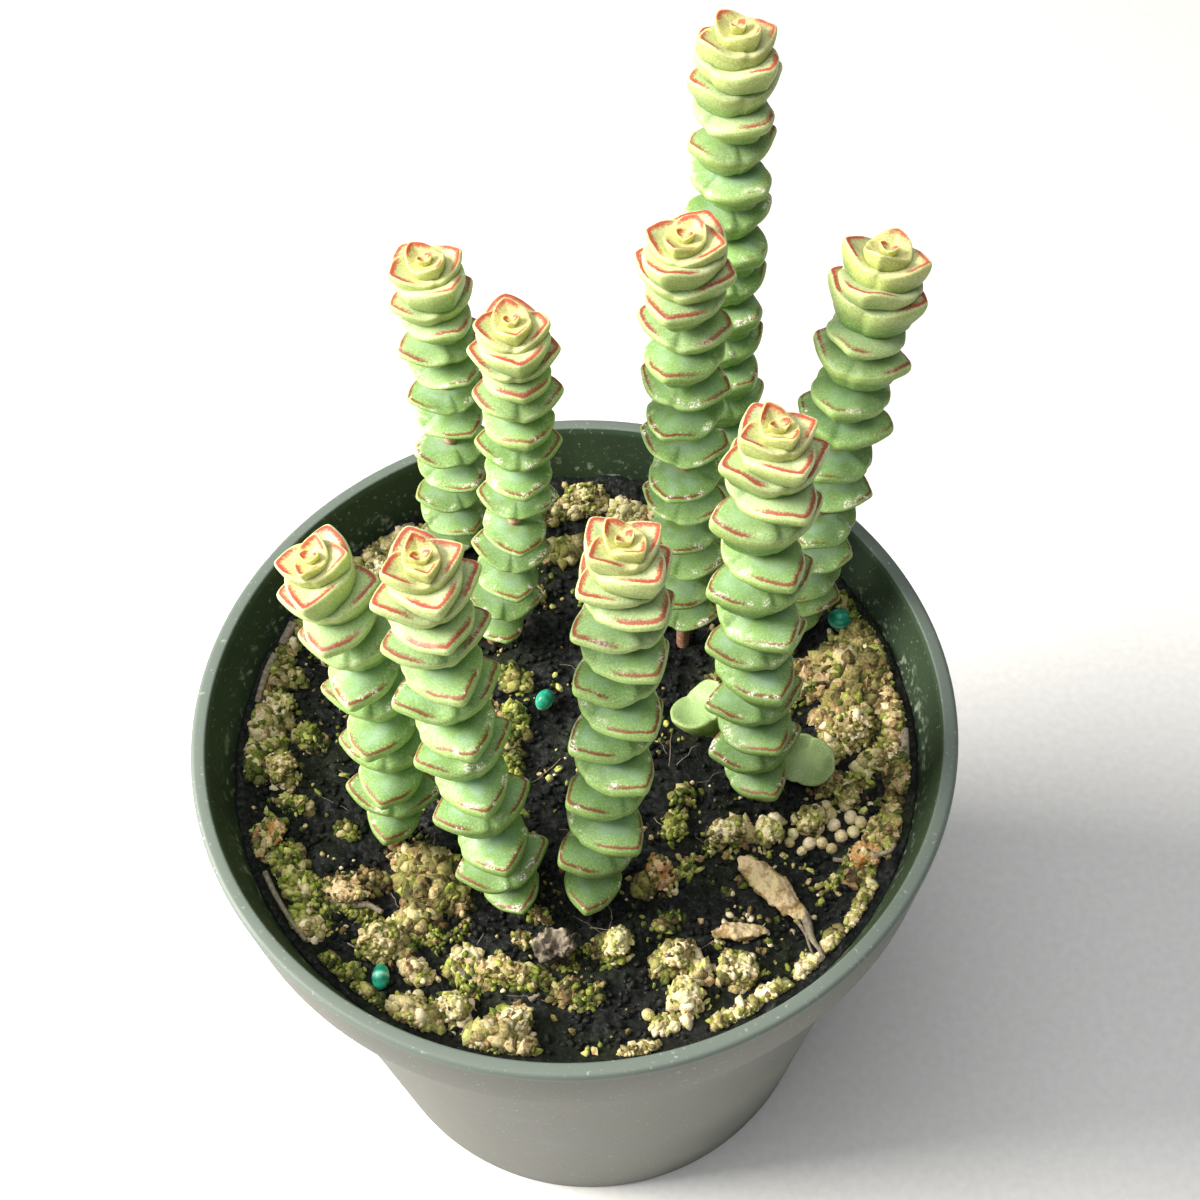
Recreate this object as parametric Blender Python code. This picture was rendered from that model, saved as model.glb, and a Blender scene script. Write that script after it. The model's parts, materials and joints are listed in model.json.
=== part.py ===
"""A baby necklace crassula growing in a four inch nursery pot.

Units are metres, +Z is up, and the origin is the centre of the pot's base, on the table.
Azimuths are in degrees, counted from +X towards +Y. The plant is looked at from -Y.
"""

import math
import random

import bmesh
import bpy
from mathutils import Matrix, Vector, noise
from mathutils.bvhtree import BVHTree

MM = 0.001
UP = Vector((0, 0, 1))

# Pot: a moulded nursery pot with a deep skirt round its mouth
RIM_RADIUS = 51.0 * MM
POT_HEIGHT = 88.0 * MM
BASE_RADIUS = 37.5 * MM
SKIRT_BOTTOM = 76.5 * MM
BODY_TOP_RADIUS = 46.8 * MM
POT_WALL = 1.1 * MM
LIP_WIDTH = 2.4 * MM
FOOT_WIDTH = 4.5 * MM
FOOT_HEIGHT = 2.4 * MM
FLOOR_THICKNESS = 1.4 * MM
DRAIN_RADIUS = 3.2 * MM
DRAIN_CIRCLE = 24.0 * MM
DRAIN_COUNT = 6
POT_SIDES = 48

# Potting mix
SOIL_LEVEL = 76.0 * MM
SOIL_EDGE_RISE = 1.0 * MM
SOIL_SIDES = 36
SOIL_RINGS = (1.0, 0.9, 0.78, 0.65, 0.5, 0.35, 0.2)
BUMP_SIZE = 11.0 * MM
BUMP_HEIGHT = 1.0 * MM
FOOT_RADIUS = 6.5 * MM
FOOT_DROP = 0.8 * MM
GAP = 0.3 * MM
ROOT_HOLE_DEPTH = 9.0 * MM
HOLE_SIDES = 12

# Leafy stems
STEM_RADIUS = 1.25 * MM
PAIR_SIDES = 8
TIP_DEPTH = 1.4 * MM
BUD_SPACING = 0.8 * MM
YOUNG_SPACING = 1.5 * MM
FULL_SPACING = 4.9 * MM
SPACING_TURN = 4.4
SPACING_POWER = 3.5
OLD_SPACING_GROWTH = 0.2 * MM
YOUNG_PAIRS = 7
PAIR_REACH = (0.36, 0.66, 0.84, 0.95)
PAIR_WIDTH = 0.86
OUTLINE_POWER = 1.55
SEAM_NOTCH = 0.08
SEAM_SPAN = 0.25
PAIR_THICKNESS = 0.8
PAIR_FILL = 0.86
YOUNG_FILL = 0.6
TIP_LIFT = 0.25
YOUNG_LIFT = 0.26
LIFT_POWER = 1.5
BUD_HOLLOW = 0.03
# Rings up a pair's outside: share of the outline, share of the tip's lift, drop in thicknesses
PAIR_SECTIONS = ((0.80, 0.3, 0.8), (1.0, 0.8, 0.36), (0.88, 1.0, 0.0))
# One more ring makes a young pair a cup, which the next pair stands in
CUP_FLOOR = (0.5, 0.12, 0.05)
REACH_SPREAD = 0.03
TURN_SPREAD = 3.0
NECK_SHARE = 0.35
NECK_SHOWS = 0.9 * MM
LOWEST_CLEARANCE = 0.5 * MM
LOWEST_ROOM = 2.2 * MM
LOWEST_REACH = 0.86

COLOURS = {
    "pot": (0.33, 0.36, 0.31),
    "soil": (0.012, 0.014, 0.012),
    "leaf": (0.27, 0.42, 0.20),
    "bark": (0.42, 0.30, 0.17),
    "pumice": (0.62, 0.50, 0.34),
    "bead": (0.02, 0.21, 0.15),
    "wood": (0.22, 0.17, 0.13),
}

# Each stem: base and tip on the pot's plan in mm, height over the soil in mm, bow at mid height in
# mm, azimuth of the first leaf tips, turn of the second tips from square, reach of a full grown leaf
# in mm, and how widely its pairs are spaced.
STEMS = {
    "stem_back_tall": ((23.2, 29.2), (21.4, 32.5), 94.5, (-1.0, -0.7), -64, -18, 5.6, 0.96),
    "stem_back_middle": ((16.0, 17.9), (15.2, 19.7), 77.2, (0.1, -0.1), -117, 5, 6.3, 1.00),
    "stem_back_right": ((31.7, 20.1), (38.4, 21.4), 72.5, (-1.3, -4.0), -118, 4, 6.4, 1.04),
    "stem_front_right": ((24.4, -7.6), (23.9, -2.5), 70.7, (-1.2, 0.5), -72, -8, 7.1, 1.09),
    "stem_back_left": ((-18.2, 36.3), (-15.5, 35.3), 60.7, (1.6, -0.8), -54, -12, 5.9, 1.00),
    "stem_middle_left": ((-11.6, 20.0), (-4.6, 19.3), 65.5, (2.1, 0.1), -79, -12, 5.7, 0.98),
    "stem_front_left": ((-25.0, -12.9), (-25.6, -13.8), 65.7, (2.9, 0.3), -103, 12, 6.2, 1.16),
    "stem_front_middle": ((-8.5, -21.6), (-13.1, -19.7), 73.2, (-1.4, 0.6), -67, -3, 6.5, 1.11),
    "stem_front_centre": ((0.9, -22.4), (6.9, -19.5), 74.7, (1.2, -0.7), -58, -10, 6.5, 1.02),
}

# Low growth at the foot of the stems: the same numbers as above, for shoots with few pairs.
SHOOTS = {
    "shoot_right": ((19.4, 2.6), (15.2, 3.4), 13, (0.0, 0.0), -150, 0, 4.6, 1.25),
    "shoot_front_right": ((31.8, -2.8), (32.6, -5.8), 7, (0.0, 0.0), -75, 0, 4.4, 1.25),
}

# How far each kind of loose piece departs from an egg shape, and how many lumps it has across
UNEVENNESS = {"pumice": 0.32, "bark": 0.40, "bead": 0.06, "wood": 0.36}
LUMPS_ACROSS = 3.1

# What lies on the potting mix: kind, place in mm, length, width and height in mm, and azimuth.
LOOSE = {
    "pumice_left_white": ("pumice", (-44.0, 8.4), (5.6, 4.2, 3.4), 20),
    "pumice_left_round": ("pumice", (-40.4, -2.3), (4.6, 4.6, 3.8), 0),
    "stone_left_orange": ("bark", (-43.4, -12.9), (4.2, 4.8, 3.4), 80),
    "chip_left_tan": ("bark", (-31.0, -20.6), (6.4, 4.0, 2.6), -20),
    "lump_front_left": ("pumice", (-26.0, -28.2), (6.0, 4.4, 3.4), 40),
    "bead_front_left": ("bead", (-25.6, -33.2), (2.6, 2.4, 3.6), 80),
    "lump_front_edge_left": ("bark", (-22.0, -38.0), (5.8, 3.6, 2.8), -15),
    "lump_front_edge": ("pumice", (-16.4, -37.4), (3.6, 4.4, 3.4), 70),
    "pebble_front_edge": ("pumice", (-8.6, -39.6), (5.0, 4.2, 3.4), 10),
    "chip_front_strip": ("pumice", (-10.4, -32.6), (7.0, 3.0, 2.4), -10),
    "bark_front_orange": ("bark", (10.6, -20.2), (5.4, 3.6, 3.0), 110),
    "lump_front_centre": ("pumice", (4.6, -29.6), (4.6, 3.8, 3.2), 60),
    "chunk_front_one": ("pumice", (12.2, -31.8), (4.6, 4.0, 3.6), 30),
    "chunk_front_two": ("pumice", (13.0, -37.2), (4.4, 4.0, 3.2), 100),
    "chip_front_smooth": ("bark", (20.0, -28.8), (8.4, 2.6, 1.8), 0),
    "lump_front_right": ("bark", (19.6, -34.0), (5.4, 4.4, 3.4), -30),
    "bark_big": ("bark", (25.0, -22.6), (12.4, 4.4, 2.4), -52),
    "pumice_right_one": ("pumice", (19.4, -14.6), (5.4, 3.8, 3.4), 10),
    "pumice_right_two": ("pumice", (25.6, -15.2), (3.4, 3.2, 2.8), 0),
    "pumice_right_three": ("pumice", (31.2, -13.0), (4.4, 3.8, 3.2), 40),
    "pumice_right_four": ("pumice", (36.4, -9.6), (3.8, 3.6, 3.2), 80),
    "bark_right_edge": ("bark", (37.4, -19.6), (4.8, 4.0, 3.2), 60),
    "chip_right_edge": ("bark", (41.0, -14.0), (8.0, 2.6, 1.6), 42),
    "lump_right": ("bark", (38.6, 0.8), (6.0, 5.0, 4.0), 15),
    "pumice_right_edge": ("pumice", (43.6, -4.8), (4.0, 3.6, 3.6), 0),
    "bead_right": ("bead", (38.6, 18.6), (3.6, 3.4, 3.4), 0),
    "bead_middle": ("bead", (-4.2, 7.4), (3.4, 2.6, 3.4), 60),
    "lump_back_left_one": ("pumice", (-29.4, 40.6), (6.4, 4.6, 3.8), 30),
    "lump_back_left_two": ("pumice", (-32.6, 35.4), (6.0, 4.4, 3.6), -30),
    "lump_back": ("pumice", (2.6, 43.6), (6.0, 4.0, 3.6), 0),
    "stick_right": ("bark", (43.0, 15.6), (9.0, 1.8, 1.6), 75),
    "stump": ("wood", (-3.4, -30.4), (5.6, 4.8, 4.6), 20),
}


def clear_scene():
    for obj in list(bpy.data.objects):
        bpy.data.objects.remove(obj)


def material(name, roughness=0.6):
    """A plain material in one of the plant's or the pot's colours."""
    found = bpy.data.materials.get(name)
    if found:
        return found
    made = bpy.data.materials.new(name)
    made.use_nodes = True
    shader = made.node_tree.nodes["Principled BSDF"]
    shader.inputs["Base Color"].default_value = (*COLOURS[name], 1.0)
    shader.inputs["Roughness"].default_value = roughness
    shader.inputs["Metallic"].default_value = 0.0
    return made


def skin(name, rings, bottom, top):
    """A closed solid through rings of equal length, listed from bottom to top, with a point at each end."""
    bm = bmesh.new()
    loops = [[bm.verts.new(point) for point in ring] for ring in rings]
    count = len(rings[0])
    first = bm.verts.new(bottom)
    last = bm.verts.new(top)
    for i in range(count):
        j = (i + 1) % count
        bm.faces.new((first, loops[0][j], loops[0][i]))
        bm.faces.new((last, loops[-1][i], loops[-1][j]))
        for low, high in zip(loops, loops[1:]):
            bm.faces.new((low[i], low[j], high[j], high[i]))
    bmesh.ops.recalc_face_normals(bm, faces=bm.faces)
    mesh = bpy.data.meshes.new(name)
    bm.to_mesh(mesh)
    bm.free()
    obj = bpy.data.objects.new(name, mesh)
    bpy.context.scene.collection.objects.link(obj)
    return obj


def circle(radius, z, sides, centre=(0.0, 0.0)):
    return [
        (
            centre[0] + radius * math.cos(2 * math.pi * i / sides),
            centre[1] + radius * math.sin(2 * math.pi * i / sides),
            z,
        )
        for i in range(sides)
    ]


def cut_holes(obj, cutters):
    """Cuts the cutters from obj with one Boolean, then removes them."""
    group = bpy.data.collections.new(obj.name + "_cutters")
    bpy.context.scene.collection.children.link(group)
    for cutter in cutters:
        bpy.context.scene.collection.objects.unlink(cutter)
        group.objects.link(cutter)
    boolean = obj.modifiers.new("Holes", "BOOLEAN")
    boolean.operation = "DIFFERENCE"
    boolean.operand_type = "COLLECTION"
    boolean.collection = group
    boolean.solver = "EXACT"
    bpy.context.view_layer.objects.active = obj
    bpy.ops.object.modifier_apply(modifier=boolean.name)
    for cutter in cutters:
        bpy.data.objects.remove(cutter)
    bpy.data.collections.remove(group)
    triangulate(obj)


def rod(centre, radius, low, high):
    """An upright round cutter between two heights."""
    rings = [circle(radius, z, HOLE_SIDES, centre) for z in (low, high)]
    return skin("cutter", rings, (*centre, low), (*centre, high))


def triangulate(obj):
    bm = bmesh.new()
    bm.from_mesh(obj.data)
    bmesh.ops.triangulate(bm, faces=bm.faces)
    bm.to_mesh(obj.data)
    bm.free()


def finish(obj, colour, roughness=0.6, sharp_angle=40.0):
    obj.data.materials.clear()
    obj.data.materials.append(material(colour, roughness))
    obj.data.shade_smooth()
    obj.data.set_sharp_from_angle(angle=math.radians(sharp_angle))


def pot_inner_radius(z):
    """Radius of the pot's inner wall at height z: the body's taper, then the steeper skirt."""
    floor = FOOT_HEIGHT + FLOOR_THICKNESS
    shelf = SKIRT_BOTTOM - POT_WALL
    if z < shelf:
        t = (z - floor) / (shelf - floor)
        return BASE_RADIUS - POT_WALL + t * (BODY_TOP_RADIUS - BASE_RADIUS)
    t = (z - shelf) / (POT_HEIGHT - shelf)
    low = BODY_TOP_RADIUS - POT_WALL
    return low + t * (RIM_RADIUS - LIP_WIDTH - low)


def make_pot():
    lip_round = 0.5 * MM
    skirt_step = 0.5 * MM
    floor = FOOT_HEIGHT + FLOOR_THICKNESS
    profile = [
        (BASE_RADIUS - FOOT_WIDTH - FOOT_HEIGHT / 2, FOOT_HEIGHT),
        (BASE_RADIUS - FOOT_WIDTH, 0.0),
        (BASE_RADIUS, 0.0),
        (BODY_TOP_RADIUS, SKIRT_BOTTOM),
        (RIM_RADIUS - skirt_step - lip_round, SKIRT_BOTTOM + skirt_step),
        (RIM_RADIUS, POT_HEIGHT - 2 * lip_round),
        (RIM_RADIUS - lip_round, POT_HEIGHT),
        (RIM_RADIUS - LIP_WIDTH + lip_round, POT_HEIGHT),
        (pot_inner_radius(POT_HEIGHT - lip_round), POT_HEIGHT - lip_round),
        (pot_inner_radius(SKIRT_BOTTOM - POT_WALL), SKIRT_BOTTOM - POT_WALL),
        (pot_inner_radius(floor), floor),
    ]
    rings = [circle(radius, z, POT_SIDES) for radius, z in profile]
    pot = skin("pot", rings, (0, 0, FOOT_HEIGHT), (0, 0, floor))
    centres = circle(DRAIN_CIRCLE, 0.0, DRAIN_COUNT)
    drains = [rod((x, y), DRAIN_RADIUS, -FLOOR_THICKNESS, 2 * floor) for x, y, _ in centres]
    cut_holes(pot, drains)
    finish(pot, "pot", roughness=0.5)
    return pot


def all_bases():
    plans = list(STEMS.values()) + list(SHOOTS.values())
    return [Vector((plan[0][0] * MM, plan[0][1] * MM)) for plan in plans]


def soil_height(x, y):
    """Height of the potting mix: level, a little higher at the wall, bumpy, and low at each stem's foot."""
    outward = math.hypot(x, y) / pot_inner_radius(SOIL_LEVEL)
    bumps = BUMP_HEIGHT * noise.noise(Vector((x / BUMP_SIZE, y / BUMP_SIZE, 0.0)))
    height = SOIL_LEVEL + SOIL_EDGE_RISE * outward**4 + bumps
    nearest = min((base - Vector((x, y))).length for base in all_bases())
    blend = min(1.0, max(0.0, 2.0 - 2.0 * nearest / FOOT_RADIUS))
    return height * (1 - blend) + (SOIL_LEVEL - FOOT_DROP) * blend


def make_soil():
    """The potting mix fills the pot. It has a plain hole for each stem, and none reaches its bottom."""
    floor = FOOT_HEIGHT + FLOOR_THICKNESS + GAP
    shelf = SKIRT_BOTTOM - POT_WALL - GAP
    rings = [circle(pot_inner_radius(z) - GAP, z, SOIL_SIDES) for z in (floor, shelf)]
    edge = pot_inner_radius(SOIL_LEVEL) - GAP
    for share in SOIL_RINGS:
        ring = circle(edge * share, 0.0, SOIL_SIDES)
        rings.append([(x, y, soil_height(x, y)) for x, y, _ in ring])
    soil = skin("soil", rings, (0, 0, floor), (0, 0, soil_height(0, 0)))
    triangulate(soil)
    low, high = SOIL_LEVEL - ROOT_HOLE_DEPTH, SOIL_LEVEL + ROOT_HOLE_DEPTH
    holes = [rod(base, STEM_RADIUS + GAP, low, high) for base in all_bases()]
    cut_holes(soil, holes)
    finish(soil, "soil", roughness=0.9)
    return soil


def pair_edge(angle, reach):
    """Distance from the stem to the rim of a joined pair, whose two tips are at 0 and 180 degrees."""
    along = abs(math.cos(angle)) / reach
    across = abs(math.sin(angle)) / (reach * PAIR_WIDTH)
    rounded = (along**OUTLINE_POWER + across**OUTLINE_POWER) ** (-1 / OUTLINE_POWER)
    seam = max(0.0, 1.0 - abs(math.cos(angle)) / SEAM_SPAN)
    return rounded * (1.0 - SEAM_NOTCH * seam)


def pair_rings(centre, axis, start, reach, thickness, youth, across):
    """Rings up the outside of one pair of fleshy leaves grown together round the stem, from its foot.

    The rings start at the azimuth start. The tips are there and opposite or, across, square to it.
    """
    lift = reach * (TIP_LIFT + YOUNG_LIFT * youth)
    turn = UP.rotation_difference(axis).to_matrix()
    rings = []
    for share, rise, drop in PAIR_SECTIONS + ((CUP_FLOOR,) if youth else ()):
        ring = []
        for i in range(PAIR_SIDES):
            angle = start + 2 * math.pi * i / PAIR_SIDES
            own_angle = angle - start + (math.pi / 2 if across else 0.0)
            radius = share * pair_edge(own_angle, reach)
            z = rise * lift * abs(math.cos(own_angle)) ** LIFT_POWER - drop * thickness
            ring.append(centre + turn @ Vector((radius * math.cos(angle), radius * math.sin(angle), z)))
        rings.append(ring)
    return rings


def axis_point(plan, height):
    """Point of a stem's centre line at this height over the soil, in metres."""
    base, tip, top, bow = plan[:4]
    t = height / (top * MM)
    swell = 4 * t * (1 - t)
    return Vector(
        (
            (base[0] + (tip[0] - base[0]) * t + bow[0] * swell) * MM,
            (base[1] + (tip[1] - base[1]) * t + bow[1] * swell) * MM,
            SOIL_LEVEL + height,
        )
    )


def axis_direction(plan, height):
    step = 1.0 * MM
    return (axis_point(plan, height + step) - axis_point(plan, height - step)).normalized()


def pair_depths(spacing, top):
    """How far below the tip each pair sits: close together when young, then about evenly spaced."""
    depths = [TIP_DEPTH * spacing]
    while depths[-1] < top:
        number = len(depths)
        grown = 1.0 - math.exp(-((number / SPACING_TURN) ** SPACING_POWER))
        gap = YOUNG_SPACING + (FULL_SPACING - YOUNG_SPACING) * grown if number > 1 else BUD_SPACING
        gap += OLD_SPACING_GROWTH * max(0, number - YOUNG_PAIRS)
        depths.append(depths[-1] + gap * spacing)
    return depths


def pair_plan(plan, draw):
    """The pairs that fit above the soil, youngest first: height, azimuth, reach, thickness, youth."""
    top, azimuth, turn, reach, spacing = plan[2] * MM, *plan[4:6], plan[6] * MM, plan[7]
    depths = pair_depths(spacing, top)
    pairs = []
    for number, (depth, below) in enumerate(zip(depths, depths[1:])):
        young = number < len(PAIR_REACH)
        share = PAIR_REACH[number] if young else 1.0
        grown = reach * share * (1 + draw.uniform(-REACH_SPREAD, REACH_SPREAD))
        thickness = min(PAIR_THICKNESS * grown, (YOUNG_FILL if young else PAIR_FILL) * (below - depth))
        if top - depth - thickness < LOWEST_CLEARANCE:
            room = pairs[-1][0] - pairs[-1][3] - LOWEST_CLEARANCE
            if room > LOWEST_ROOM:
                heading = azimuth + (turn if number % 2 else 0)
                height = LOWEST_CLEARANCE + room * PAIR_FILL
                pairs.append((height, math.radians(heading), reach * LOWEST_REACH, room * PAIR_FILL, 0.0))
            break
        heading = azimuth + (turn if number % 2 else 0) + draw.uniform(-TURN_SPREAD, TURN_SPREAD)
        youth = max(0.0, 1.0 - number / len(PAIR_REACH))
        pairs.append((top - depth, math.radians(heading), grown, thickness, youth))
    return pairs


def neck(plan, height, radius):
    """The bare stem between two pairs, as a ring that starts at the first tips' azimuth."""
    centre = axis_point(plan, height)
    turn = UP.rotation_difference(axis_direction(plan, height)).to_matrix()
    start = math.radians(plan[4])
    angles = (start + 2 * math.pi * i / PAIR_SIDES for i in range(PAIR_SIDES))
    return [centre + turn @ Vector((radius * math.cos(a), radius * math.sin(a), 0.0)) for a in angles]


def make_stem(name, plan, draw):
    """A leafy stem in one piece: crossed pairs threaded one above the other, the youngest in a bud."""
    hole_bottom = -ROOT_HOLE_DEPTH + GAP
    base = axis_point(plan, 0.0)
    pairs = pair_plan(plan, draw)
    upright = [(point.x, point.y) for point in neck(plan, 0.0, STEM_RADIUS)]
    rings = [[(x, y, SOIL_LEVEL + z) for x, y in upright] for z in (hole_bottom, 0.0)]
    below = 0.0
    for number in reversed(range(len(pairs))):
        height, heading, reach, thickness, youth = pairs[number]
        radius = min(STEM_RADIUS, NECK_SHARE * reach)
        foot = height - thickness
        if foot - below > NECK_SHOWS:
            if below:
                rings.append(neck(plan, below, radius))
            rings.append(neck(plan, foot, radius))
        else:
            rings.append(neck(plan, (foot + below) / 2, radius))
        across = number % 2
        centre = axis_point(plan, height)
        sides = pair_rings(centre, axis_direction(plan, height), heading, reach, thickness, youth, across)
        rings.extend(sides)
        below = height
    top = axis_point(plan, below - BUD_HOLLOW * reach)
    stem = skin(name, rings, (base.x, base.y, SOIL_LEVEL + hole_bottom), top)
    finish(stem, "leaf", roughness=0.45, sharp_angle=60.0)
    return stem


def make_loose(name, kind, place, size, azimuth, ground, draw):
    """A crumb, chip or bead: a rounded block made uneven, then lowered until it lies on the potting mix."""
    bm = bmesh.new()
    bmesh.ops.create_icosphere(bm, subdivisions=2, radius=0.5)
    shift = Vector([draw.uniform(-20, 20) for _ in range(3)])
    for vertex in bm.verts:
        vertex.co *= 1 + UNEVENNESS[kind] * noise.noise(vertex.co * LUMPS_ACROSS + shift)
    turn = Matrix.Rotation(math.radians(azimuth), 4, "Z")
    scale = Matrix.Diagonal((size[0] * MM, size[1] * MM, size[2] * MM, 1.0))
    bmesh.ops.transform(bm, matrix=turn @ scale, verts=bm.verts)
    centre = Vector((place[0] * MM, place[1] * MM, POT_HEIGHT))
    bmesh.ops.translate(bm, vec=centre, verts=bm.verts)
    wall = pot_inner_radius(SOIL_LEVEL) - GAP
    overshoot = max(0.0, max(vertex.co.xy.length for vertex in bm.verts) - wall)
    bmesh.ops.translate(bm, vec=-overshoot * Vector((centre.x, centre.y, 0)).normalized(), verts=bm.verts)
    mesh = bpy.data.meshes.new(name)
    bm.to_mesh(mesh)
    bm.free()
    obj = bpy.data.objects.new(name, mesh)
    bpy.context.scene.collection.objects.link(obj)
    mesh.transform(Matrix.Translation(-UP * (lowest_drop(obj, ground) - GAP)))
    while tree_of(obj).overlap(ground["tree"]):
        mesh.transform(Matrix.Translation(UP * GAP / 2))
    finish(obj, kind, roughness=0.85)
    return obj


def tree_of(obj):
    return BVHTree.FromPolygons(
        [v.co for v in obj.data.vertices], [p.vertices for p in obj.data.polygons]
    )


def lowest_drop(obj, ground):
    """How far the object can sink before one of its points meets the ground, or the ground's meet it."""
    own = tree_of(obj)
    hits = [ground["tree"].ray_cast(vertex.co, -UP) for vertex in obj.data.vertices]
    hits += [own.ray_cast(point, UP) for point in ground["points"]]
    return min(hit[3] for hit in hits if hit[0] is not None)


def main():
    clear_scene()
    draw = random.Random(7)
    make_pot()
    soil = make_soil()
    for name, plan in {**STEMS, **SHOOTS}.items():
        make_stem(name, plan, draw)
    ground = {"tree": tree_of(soil), "points": [v.co.copy() for v in soil.data.vertices]}
    for name, (kind, place, size, azimuth) in LOOSE.items():
        make_loose(name, kind, place, size, azimuth, ground, draw)


main()
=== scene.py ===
"""A baby necklace crassula in a four inch nursery pot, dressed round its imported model.

Metres, +Z up, and the origin is the centre of the pot's base on the table. Azimuths count from +X
towards +Y. Sizes are written in millimetres and multiplied by MM where they are used.
"""

import functools
import json
import math
import random

import bmesh
import bpy
import numpy as np
from mathutils import Euler, Matrix, Vector, noise

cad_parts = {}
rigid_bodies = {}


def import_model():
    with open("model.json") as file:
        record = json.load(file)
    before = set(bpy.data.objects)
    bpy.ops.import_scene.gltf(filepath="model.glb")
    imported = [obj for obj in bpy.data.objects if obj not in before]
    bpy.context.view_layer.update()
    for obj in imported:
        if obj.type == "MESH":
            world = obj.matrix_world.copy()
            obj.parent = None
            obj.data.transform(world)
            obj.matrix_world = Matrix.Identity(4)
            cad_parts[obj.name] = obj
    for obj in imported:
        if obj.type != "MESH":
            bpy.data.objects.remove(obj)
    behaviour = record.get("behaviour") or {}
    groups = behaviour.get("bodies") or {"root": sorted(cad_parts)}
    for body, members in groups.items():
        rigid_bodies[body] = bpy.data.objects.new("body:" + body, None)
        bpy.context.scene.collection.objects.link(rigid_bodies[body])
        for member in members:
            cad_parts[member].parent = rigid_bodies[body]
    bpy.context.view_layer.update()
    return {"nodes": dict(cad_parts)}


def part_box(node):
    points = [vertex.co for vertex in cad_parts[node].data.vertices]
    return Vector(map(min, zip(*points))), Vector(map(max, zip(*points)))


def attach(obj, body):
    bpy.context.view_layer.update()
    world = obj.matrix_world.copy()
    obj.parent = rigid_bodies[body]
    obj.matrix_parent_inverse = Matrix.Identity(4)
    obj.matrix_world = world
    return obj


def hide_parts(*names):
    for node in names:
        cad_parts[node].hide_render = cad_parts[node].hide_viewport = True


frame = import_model()

MM = 0.001
UP = Vector((0, 0, 1))
PAIR_SEED = 7
SHAPE_SEED = 21
LOOSE_SEED = 5
LITTER_SEED = 11

# Camera: where the photograph was taken from, in mm, its downward tilt, its roll and its lens
CAMERA_PLACE = (4.206, -120.225, 280.767)
CAMERA_ELEVATION = 54.539
CAMERA_ROLL = 2.485
CAMERA_LENS = 51.0
CAMERA_SENSOR = 36.0
CAMERA_NEAREST = 0.01

# Lights: name, place in metres, width, power and tint, then where they aim, and the surroundings
LIGHTS = (
    ("key_light", (-0.67, 0.03, 0.56), 0.42, 16.5, "#FFF9EF"),
    ("low_light", (-0.80, -0.10, 0.14), 0.40, 3.5, "#FFFFFF"),
    ("top_light", (-0.10, -0.12, 0.98), 0.70, 5.5, "#FFFFFF"),
)
LIGHT_AIM = (0.0, 0.0, 0.09)
WORLD_TINT = "#F7F9FA"
WORLD_STRENGTH = 0.17
FLOOR_WIDTH = 3.0

# Pot, in mm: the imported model's own sizes, with the moulding's rounded edges added
RIM_RADIUS = 51.0
POT_HEIGHT = 88.0
BASE_RADIUS = 37.5
SKIRT_BOTTOM = 76.5
BODY_TOP_RADIUS = 46.8
POT_WALL = 1.1
LIP_WIDTH = 2.0
FOOT_WIDTH = 4.5
FOOT_HEIGHT = 2.4
FLOOR_THICKNESS = 1.4
DRAIN_RADIUS = 3.2
DRAIN_CIRCLE = 24.0
DRAIN_COUNT = 6
DRAIN_SIDES = 32
SKIRT_STEP = 0.5
SKIRT_RISE = 0.2
LIP_ROUNDING = 0.3
INSIDE_ROOM = 0.1
POT_SEGMENTS = 160
CORNER_STEPS = 5
SHARP_ANGLE = 50

# Potting mix, in mm
SOIL_LEVEL = 76.0
SOIL_EDGE_RISE = 3.5
SOIL_EDGE_POWER = 12
SOIL_WALL_GAP = 0.08
BUMP_SIZE = 11.0
BUMP_HEIGHT = 1.0
FOOT_RADIUS = 6.5
FOOT_DROP = 0.8
SOIL_CELLS = 200
SOIL_BEND = 1.0
SOIL_FLOOR_GAP = 0.3
CLOD_SIZE = 3.6
CLOD_HEIGHT = 0.55
GRAIN_SIZE = 0.9
GRAIN_HEIGHT = 0.26
# Where the patterns of clods and grains start, and the clods' octaves: fall-off, step and count
CLOD_START = 3.7
GRAIN_START = 9.1
CLOD_OCTAVES = (0.8, 2.1, 3)

# Forms of a leafy stem's pairs from the bud outwards, then of a full grown pair: its reach as a
# share of a full grown one's, the heights of its middle, its seams and its tips as shares of its
# own reach, how bud-like its sides are, and how far in mm its body goes below the next pair's
# height
ROSETTE = (
    (0.45, -0.08, 0.04, 0.36, 1.0, 1.3),
    (0.70, 0.00, 0.06, 0.27, 1.0, 1.3),
    (0.86, 0.08, 0.08, 0.27, 0.8, 1.1),
    (0.96, 0.15, 0.09, 0.25, 0.4, 0.8),
)
GROWN = (1.00, 0.25, 0.10, 0.24, 0.0, 0.4)
# Stems with rounder leaves and a more open rosette: how much wider its pairs are
OPEN_ROSETTES = {
    "stem_back_tall": 1.25,
    "stem_back_right": 1.25,
    "stem_back_middle": 1.15,
    "stem_back_left": 1.20,
    "stem_middle_left": 1.20,
}
# Small irregularities of the pairs
SECOND_REACH = 0.95
REACH_SPREAD = 0.03
TURN_SPREAD = 3.0
LOWEST_REACH = 0.88

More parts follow.
